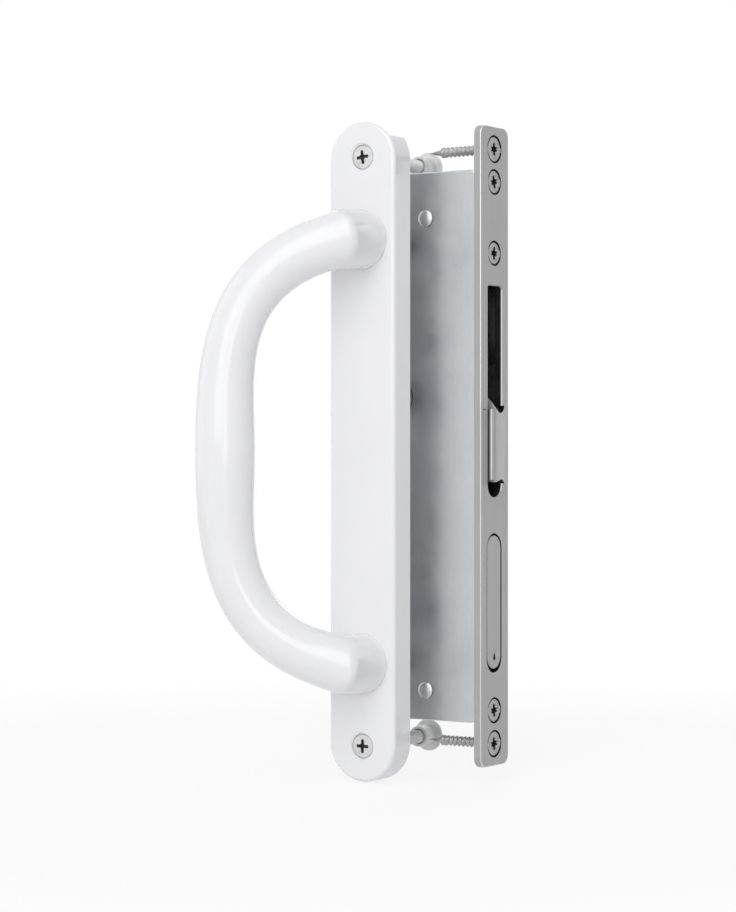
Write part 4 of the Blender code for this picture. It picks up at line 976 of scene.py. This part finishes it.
def build_faceplate():
    """The strip in front of the lock. Its looks: brushed face, rims with a painted highlight, and painted
    shade in the slots, notch and bores, with a painted glint in each bore.
    """
    outline = round_box(FACE_LOW.y, FACE_LOW.z, FACE_HIGH.y, FACE_HIGH.z, FACE_CORNER)
    cuts = []
    # Slots, notch, scratch and bores take painted shade on their walls.
    for slot, size in ((hook_slot, SLOT_RIM), (trigger_slot, TRIGGER_RIM)):
        cuts.append(prism(slot(), "X", EDGE_X - OVER, FACE_X + OVER, coat=2))
        cuts.append(slot_rim(slot, size))
    side, top = LOCK_Y + HOOK_SLOT_SIDES[1], HOOK_TOP[-1][1]
    low = (EDGE_X + NOTCH_FLOOR, side - OVER, top - NOTCH_HEIGHT)
    cuts.append(block(low, (FACE_X + OVER, side + NOTCH_DEPTH, top), 2))
    cuts.append(block(SCRATCH_LOW, SCRATCH_HIGH, 2))
    slim = SCREW_SHANK_R + EASE
    heights = [middle("faceplate_screw_%d" % number).z for number in range(1, 6)]
    for number, height in enumerate(heights, 1):
        low, high = box("faceplate_screw_%d" % number)
        wide = (high.y - low.y) / 2 + SCREW_RING
        rim = FACE_X - SCREW_RIM
        base = max(EDGE_X + EASE, rim - (wide - slim))
        bore = ((0, FACE_X + OVER), (wide, FACE_X + OVER), (wide, rim), (slim, base), (slim, EDGE_X - OVER))
        bore += ((0, EDGE_X - OVER),)
        cuts.append(turned(bore, "X", (0, LOCK_Y + BORE_SHIFT, height), SMALL_SIDES, 2))
    flat = prism(outline, "X", EDGE_X, FACE_X, FACE_RIM, FACE_RIM, 3, rim=1)
    plate = piece("faceplate", flat, "set", (BRUSHED, EDGE_HIGHLIGHT, PAINTED_SHADE), cuts=cuts)
    # The hook slot's rim keeps its painted highlight only between the BRIGHT_RIM heights; a bore's wall on
    # the +Y side near its screw takes a painted glint.
    for face in plate.data.polygons:
        spot = face.center / MM
        by_slot = HOOK_SLOT_LOW - OVER < spot.z < HOOK_SLOT_HIGH + OVER
        by_slot = by_slot and abs(spot.y - LOCK_Y) < HOOK_SLOT_REACH
        by_screw = spot.y > LOCK_Y and min(abs(spot.z - height) for height in heights) < BORE_GLINT
        if face.material_index == 1 and by_slot and not BRIGHT_RIM[0] < spot.z < BRIGHT_RIM[1]:
            face.material_index = 0
        elif face.material_index == 2 and by_screw:
            face.material_index = 1


def slot_rim(slot, size):
    """Cutter of the bright chamfer round a slot of the faceplate."""
    rings = []
    for level, margin in ((-size - EASE, -EASE), (EASE, size + EASE), (OVER, size + EASE)):
        rings.append([(FACE_X + level, y, z) for y, z in slot(margin)])
    return loft(rings, 1)


def hook_slot(margin=0.0):
    left, right = (LOCK_Y + side for side in HOOK_SLOT_SIDES)
    half = (right - left) / 2 + margin
    middle_y = (left + right) / 2
    low = HOOK_SLOT_LOW - margin + half
    high = HOOK_SLOT_HIGH + margin
    corner = HOOK_SLOT_CORNER
    points = arc((middle_y + half - corner, high - corner), corner, 0, 90, CORNER_STEPS)
    points += arc((middle_y - half + corner, high - corner), corner, 90, 180, CORNER_STEPS)
    return points + arc((middle_y, low), half, 180, 360, SLOT_STEPS)


def trigger_slot(margin=0.0):
    low, high = TRIGGER_SLOT_LOW - margin, TRIGGER_SLOT_HIGH + margin
    return stadium(TRIGGER_SLOT_WIDTH + 2 * margin, low, high, LOCK_Y + TRIGGER_SLOT_SHIFT)


def build_face_screws():
    for number, turn in enumerate(SCREW_TURNS, 1):
        node = "faceplate_screw_%d" % number
        low, high = box(node)
        radius = (high.y - low.y) / 2
        top = Vector((high.x, LOCK_Y, (low.z + high.z) / 2))
        neck = SCREW_SHANK_R - radius - SCREW_LIP
        head = fillet(((0, 0), (radius - SCREW_EDGE, 0), (radius, -SCREW_LIP), (SCREW_SHANK_R, neck)), 0.2)
        shape = (head, WOOD_THREAD if number in WOOD_SCREWS else METAL_THREAD, high.x - low.x)
        rest = {"axis": "X", "fork": SCREW_FORK, "soft": 0.06}
        made = screw(node, shape, top, (SCREW_X, PAINTED_SHADE), SCREW_CROSS, turn, **rest)
        # Painted shade on each head's cone and outer rim, but for a pale band at mid height.
        for face in made.data.polygons:
            x, y, z = face.center / MM
            out = hypot(y, z)
            flank = SCREW_FLANK[0] < x < SCREW_FLANK[1] and out > SCREW_SHANK_R
            edge = y < 0 and out > radius - SCREW_LIP
            if abs(z) > SCREW_PALE and (flank or edge):
                face.material_index = 1


def build_hook():
    """The hook, with its lower edge drawn in on both sides. Its edges take painted shade."""
    upper = list(HOOK_ROOT) + flowing(HOOK_TOP)
    low, high = LOCK_Y - HOOK_THICK / 2, LOCK_Y + HOOK_THICK / 2
    lower = flowing(HOOK_BOTTOM)
    core = [(x, min(z, HOOK_CORE_Z)) for x, z in lower]
    rings = []
    for level, edge in ((low, lower), (low + HOOK_DRAW, core), (high - HOOK_DRAW, core), (high, lower)):
        rings.append([(x, level, z) for x, z in upper + edge])
    bore, ends = HOOK_PIN_R + EASE, (low - OVER, high + OVER)
    cuts = [rod(bore, "Y", (HOOK_PIN_X, 0, z), *ends, PIN_SIDES) for z in HOOK_PINS_Z]
    hook = piece("hook_bolt", loft(rings), "hook", (HOOK_STEEL, HOOK_EDGE_SHADE), cuts=cuts, soft=HOOK_SOFT)
    # Painted shade on the edge faces along the lower contour and in the upper throat, short of the tip.
    down, up, short = HOOK_SHADE_REACH
    for face in hook.data.polygons:
        flat = abs(face.normal.y) > FLAT
        above = face.center.z / MM > HOOK_TOP[4][1] - down
        below = face.center.z / MM < HOOK_BOTTOM[2][1] + up
        shaded = below or (above and face.center.x / MM < HOOK_TOP[-1][0] - short)
        face.material_index = 1 if shaded and not flat else 0


def build_trigger():
    low = TRIGGER_SLOT_LOW + TRIGGER_FOOT_GAP
    high = TRIGGER_SLOT_HIGH - TRIGGER_TOP_GAP
    front_x = box("push_trigger")[1].x
    outline = stadium(TRIGGER_SLOT_WIDTH - 2 * TRIGGER_SIDE_GAP, low, high, LOCK_Y)
    front = prism(outline, "X", TRIGGER_BACK_X + OVER, front_x, round_high=TRIGGER_ROUND)
    half = (ROOM_BACK_Y - ROOM_FRONT_Y) / 2 - EASE
    foot, head = low - SHOULDER_OUT, high + SHOULDER_OUT
    shoulder = round_box(LOCK_Y - half, foot, LOCK_Y + half, head, SHOULDER_CORNER)
    joins = [prism(shoulder, "X", TRIGGER_BACK_X, TRIGGER_SHOULDER_X)]
    for end in ("top", "bottom"):
        centre = (0, LOCK_Y, middle("trigger_spring_" + end).z)
        joins.append(rod(SPIGOT_R, "X", centre, TRIGGER_BACK_X - SPIGOT, TRIGGER_BACK_X + OVER, BORE_SIDES))
    radius = TEAR_WIDTH / 2
    tear_z = TRIGGER_SLOT_LOW + TEAR_INSET
    tear = arc((LOCK_Y, tear_z - TEAR_LENGTH / 2 + radius), radius, *TEAR_ARC, TEAR_STEPS)
    tear.append((LOCK_Y, tear_z + TEAR_LENGTH / 2))
    # The teardrop recess takes painted shade.
    cuts = [prism(tear, "X", front_x - TEAR_DEPTH, front_x + OVER, coat=1)]
    trigger = piece("push_trigger", front, "trigger", (BRUSHED, PAINTED_SHADE), cuts=cuts, joins=joins, soft=0.14)
    # The trigger's sides back in the slot take painted shade.
    for face in trigger.data.polygons:
        if face.center.x / MM < front_x - TRIGGER_ROUND:
            face.material_index = 1


def build_springs():
    """Wire springs with a close turn at each end, made at one length; the real ones shorten as the trigger
    goes in.
    """
    for end in ("top", "bottom"):
        node = "trigger_spring_" + end
        low, high = box(node)
        centre = (low + high) / 2
        coil_r = (high.z - low.z) / 2 - SPRING_WIRE_R
        start, finish = low.x + SPRING_WIRE_R, high.x - SPRING_WIRE_R
        count = (SPRING_COILS + 2) * SPRING_STEPS
        line = []
        for i in range(count + 1):
            share = i / count
            along = start + (finish - start) * (share - SPRING_CLOSE * sin(2 * pi * share))
            turn = 2 * pi * i / SPRING_STEPS
            y, z = centre.y + coil_r * cos(turn), centre.z + coil_r * sin(turn)
            line.append(Vector((along, y, z)))
        rings = []
        for i, point in enumerate(line):
            heading = (line[min(i + 1, count)] - line[max(i - 1, 0)]).normalized()
            outward = Vector((0, point.y - centre.y, point.z - centre.z)).normalized()
            third = heading.cross(outward)
            ring = [cos(t) * outward + sin(t) * third for t in full_turn(WIRE_SIDES)]
            rings.append([point + SPRING_WIRE_R * way for way in ring])
        spring = piece(node, loft(rings), "set", SCREW_X, crease=SMOOTH_CREASE)
        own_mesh(spring)


def case_outline(inset=0.0):
    low = (CASE_LOW.x + inset, CASE_LOW.z + inset)
    return round_box(*low, CASE_HIGH.x - inset, CASE_HIGH.z - inset, CASE_CORNER - inset, CORNER_STEPS)


def build_case():
    tray = prism(case_outline(), "Y", CASE_LOW.y, CASE_HIGH.y, round_high=CASE_FOLD)
    # The case's inside takes painted shade.
    cuts = [prism(case_outline(SHEET), "Y", CASE_LOW.y - OVER, ROOM_BACK_Y, coat=1)]
    joins = []
    for number in range(2, 5):
        height = middle("faceplate_screw_%d" % number).z
        low = (FLANGE_X - LUG_DEPTH, LOCK_Y - LUG_WIDE, height - LUG_HALF)
        top = min(height + LUG_HALF, CASE_HIGH.z - SHEET / 2)
        joins.append(block(low, (FLANGE_X + SHEET / 2, LOCK_Y + LUG_WIDE, top)))
        ends = (FLANGE_X - LUG_DEPTH - 2 * OVER, CASE_HIGH.x + OVER)
        cuts.append(rod(SCREW_SHANK_R + EASE, "X", (0, LOCK_Y, height), *ends, BORE_SIDES))
    springs = [box("trigger_spring_" + end) for end in ("bottom", "top")]
    low_z, high_z = springs[0][0].z - SEAT_REACH, springs[1][1].z + SEAT_REACH
    joins.append(block((SEAT_X, LOCK_Y - LUG_WIDE, low_z), (SEAT_X + SHEET, ROOM_BACK_Y + SHEET / 2, high_z)))
    cuts.append(prism(hook_slot(CASE_SLOT_MARGIN), "X", FLANGE_X - OVER, CASE_HIGH.x + OVER))
    cuts.append(prism(trigger_slot(EASE), "X", FLANGE_X - OVER, CASE_HIGH.x + OVER))
    hub, hub_at = HUB_R + EASE, (0, 0, SPINDLE.z)
    behind, before = (ROOM_BACK_Y - OVER, CASE_HIGH.y + OVER), (COVER_LOW.y - OVER, COVER_HIGH.y + OVER)
    cuts.append(rod(hub, "Y", hub_at, *behind))
    cover = prism(case_outline(), "Y", COVER_LOW.y, COVER_HIGH.y, round_low=COVER_FOLD)
    cover_cuts = [rod(hub, "Y", hub_at, *before)]
    for number in range(1, 5):
        spot = middle("case_rivet_%d" % number)
        for holes, ends in ((cuts, behind), (cover_cuts, before)):
            holes.append(rod(RIVET_NECK_R + EASE, "Y", (spot.x, 0, spot.z), *ends, BORE_SIDES))
    case = piece("lock_case", tray, "set", (ZINC, PAINTED_SHADE), cuts=cuts, joins=joins, soft=0.12)
    # Painted shade on the flange's front face.
    for face in case.data.polygons:
        if face.normal.x > FLAT and face.center.x > FLANGE_X * MM:
            face.material_index = 1
    lid = piece("case_cover", cover, "set", (ZINC, PAINTED_SHADE), cuts=cover_cuts, soft=0.12)
    # Painted shade on the cover's inner face.
    for face in lid.data.polygons:
        face.material_index = 1 if face.normal.y > FLAT else 0


def build_rivets():
    for number in range(1, 5):
        node = "case_rivet_%d" % number
        low, high = box(node)
        centre = (low + high) / 2
        wide = (high.x - low.x) / 2
        half = (high.y - low.y) / 2
        neck = half - RIVET_HEAD
        head = [(wide * x, half - RIVET_HEAD * (1 - z)) for x, z in arc((0, 0), 1.0, 90, 0, RIM_STEPS)]
        foot = neck - RIVET_NECK
        upper = head + [(RIVET_NECK_R, neck), (RIVET_NECK_R, foot), (RIVET_R, foot)]
        profile = upper + [(radius, -height) for radius, height in reversed(upper)]
        piece(node, turned(profile, "Y", centre, PIN_SIDES), "set", ZINC, centre)


def build_rose():
    depth = ROSE_HIGH.y - ROSE_LOW.y
    level = (0, ROSE_LOW.y, SPINDLE.z)
    rim = [(ROSE_R - inward, depth - down) for inward, down in ROSE_EDGE]
    foot = [(ROSE_R, ROSE_FOOT), (ROSE_R - ROSE_FOOT, 0), (0, 0)]
    profile = fillet([(0, depth)] + rim + foot, 0.4)
    ledge = TURN_COLLAR + EASE
    bore = stepped(depth + OVER, TURN_NECK_R + EASE, ledge, TURN_COLLAR_R + EASE, -OVER)
    cuts = [turned(bore, "Y", level)]
    for end, side in (("left", -1), ("right", 1)):
        node = "rose_screw_" + end
        low, high = box(node)
        top = Vector(((low.x + high.x) / 2, high.y, SPINDLE.z))
        radius = (high.x - low.x) / 2
        shank = ROSE_THREAD.radius
        wide, slim = radius + EASE, shank + EASE
        mouth = depth - ROSE_HOLE_RIM
        bore = ((0, depth + OVER), (wide, depth + OVER), (wide, mouth), (slim, mouth - (wide - slim)))
        bore += ((slim, -OVER), (0, -OVER))
        cuts.append(turned(bore, "Y", (top.x, ROSE_LOW.y, SPINDLE.z), SMALL_SIDES))
        neck = shank - radius - ROSE_SCREW_LIP
        head = ((0, 0), (radius - ROSE_SCREW_EDGE, 0), (radius, -ROSE_SCREW_LIP), (shank, neck))
        shape = (fillet(head, 0.15), ROSE_THREAD, high.y - low.y)
        screw(node, shape, top, (SCREW_Y, RECESS), ROSE_CROSS, ROSE_CROSS_TURN * side, soft=0.05)
    rose = turned(profile, "Y", level, ROSE_SIDES)
    piece("turn_rose", rose, "set", ENAMEL, level, cuts, soft=0.2, steps=3)


def build_turn():
    low, high = box("thumb_turn")
    back = low.y
    axis = (0, 0, SPINDLE.z)
    start = high.y - TURN_PADDLE
    shoulder = back + TURN_COLLAR
    front = start + TURN_PADDLE / 2
    neck = arc((TURN_NECK_R - TURN_NECK_ROUND, front - TURN_NECK_ROUND), TURN_NECK_ROUND, 90, 0, RIM_STEPS)
    profile = [(0, front)] + neck + [(TURN_NECK_R, shoulder), (TURN_COLLAR_R, shoulder)]
    profile += [(TURN_COLLAR_R, back), (0, back)]
    half = TURN_THICK / 2
    edge = arc((half - PADDLE_LIFT, start + PADDLE_LIFT), PADDLE_LIFT, -90, 0, PADDLE_STEPS[0])
    edge += arc((half - PADDLE_SOFT, high.y - PADDLE_SOFT), PADDLE_SOFT, 0, 90, PADDLE_STEPS[1])
    rings = []
    for reach, height in edge:
        long = TURN_WIDE / 2 - half + reach
        rings.append([(long * cos(t), reach * sin(t), height) for t in full_turn(ROUND_SIDES)])
    paddle = moved(loft(rings), "Y", axis)
    bar_low, bar_high = box("spindle")
    hole = (bar_high.x - bar_low.x) / 2 + EASE
    floor = bar_high.y + EASE
    socket = block((-hole, back - OVER, SPINDLE.z - hole), (hole, floor, SPINDLE.z + hole))
    neck = turned(profile, "Y", axis)
    piece("thumb_turn", neck, "turn", ENAMEL, axis, [socket], [paddle], soft=0.45, steps=4)


def dress_kept_nodes():
    """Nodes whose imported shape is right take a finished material."""
    for name in KEPT:
        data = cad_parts[name].data
        data.materials.clear()
        data.materials.append(CARRIER if name == "hook_carrier" else ZINC)


# Camera, light and floor

def build_camera():
    data = bpy.data.cameras.new("camera")
    data.sensor_fit = "VERTICAL"
    data.sensor_height = SENSOR
    data.lens = FOCAL_PIXELS * SENSOR / IMAGE_HEIGHT
    data.shift_y = -HORIZON_RISE / IMAGE_HEIGHT
    data.clip_start = CLIP_START
    camera = put("camera", data)
    camera.location = CAMERA_PLACE
    camera.rotation_euler = (radians(90), 0, radians(CAMERA_AZIMUTH))
    bpy.context.scene.camera = camera


def build_light():
    for name, place, size, power in LAMPS:
        data = bpy.data.lights.new(name, "AREA")
        data.shape = "RECTANGLE"
        data.size, data.size_y = size
        data.energy = power
        lamp = put(name, data)
        lamp.location = place
        lamp.rotation_euler = (-Vector(place)).to_track_quat("-Z", "Y").to_euler()
    world = bpy.data.worlds.new("studio")
    bpy.context.scene.world = world
    world.use_nodes = True
    nodes = Nodes(world.node_tree)
    level = nodes.ranged(nodes.seen(), 0.0, 1.0, SKY, 1.0)
    nodes.feed(nodes.tree.nodes["Background"], Color=(1.0, 1.0, 1.0, 1.0), Strength=level)


def build_floor():
    edit = bmesh.new()
    bmesh.ops.create_grid(edit, x_segments=1, y_segments=1, size=FLOOR_HALF)
    mesh = bpy.data.meshes.new("floor")
    edit.to_mesh(mesh)
    edit.free()
    mesh.materials.append(floor_look())
    floor = put("floor", mesh)
    floor.location.z = PLATE_LOW.z * MM - FLOOR_DROP


KEPT = ("hook_carrier", "hook_pin_1", "hook_pin_2", "drive_pinion", "spindle")
bpy.context.scene.view_settings.view_transform = "Standard"
ENAMEL = enamel_look()
BRUSHED = brushed_look("brushed_stainless", (2600.0, 2600.0, 55.0), 0.41, 0.38, 0.38)
HOOK_STEEL = brushed_look("hook_stainless", (1800.0, 1800.0, 70.0), 0.5, 0.5, 0.12)
# brighter, glossier steel on the faceplate's rims and bores: a painted highlight
EDGE_HIGHLIGHT = brushed_look("edge_painted_highlight", (1400.0, 1400.0, 90.0), 0.62, 0.22, 1.0)
# painted shade for hollows, slots, bores and the case's inside
PAINTED_SHADE = painted_shade_look()
CARRIER = carrier_look()
ZINC = zinc_look()
SCREW_X = screw_look("screw_steel_x", "X", 0.42, 0.36, 0.5)
SCREW_Y = screw_look("screw_steel_y", "Y", 0.74, 0.46, 0.3)
RECESS = recess_look()
# painted shade on the hook's edges
HOOK_EDGE_SHADE = hook_edge_shade_look()

build_camera()
build_light()
build_floor()
build_backplate()
build_grip()
build_grip_screws()
build_fixing_screws()
build_sleeve_nuts()
build_faceplate()
build_face_screws()
build_hook()
build_trigger()
build_springs()
build_case()
build_rivets()
build_rose()
build_turn()
dress_kept_nodes()
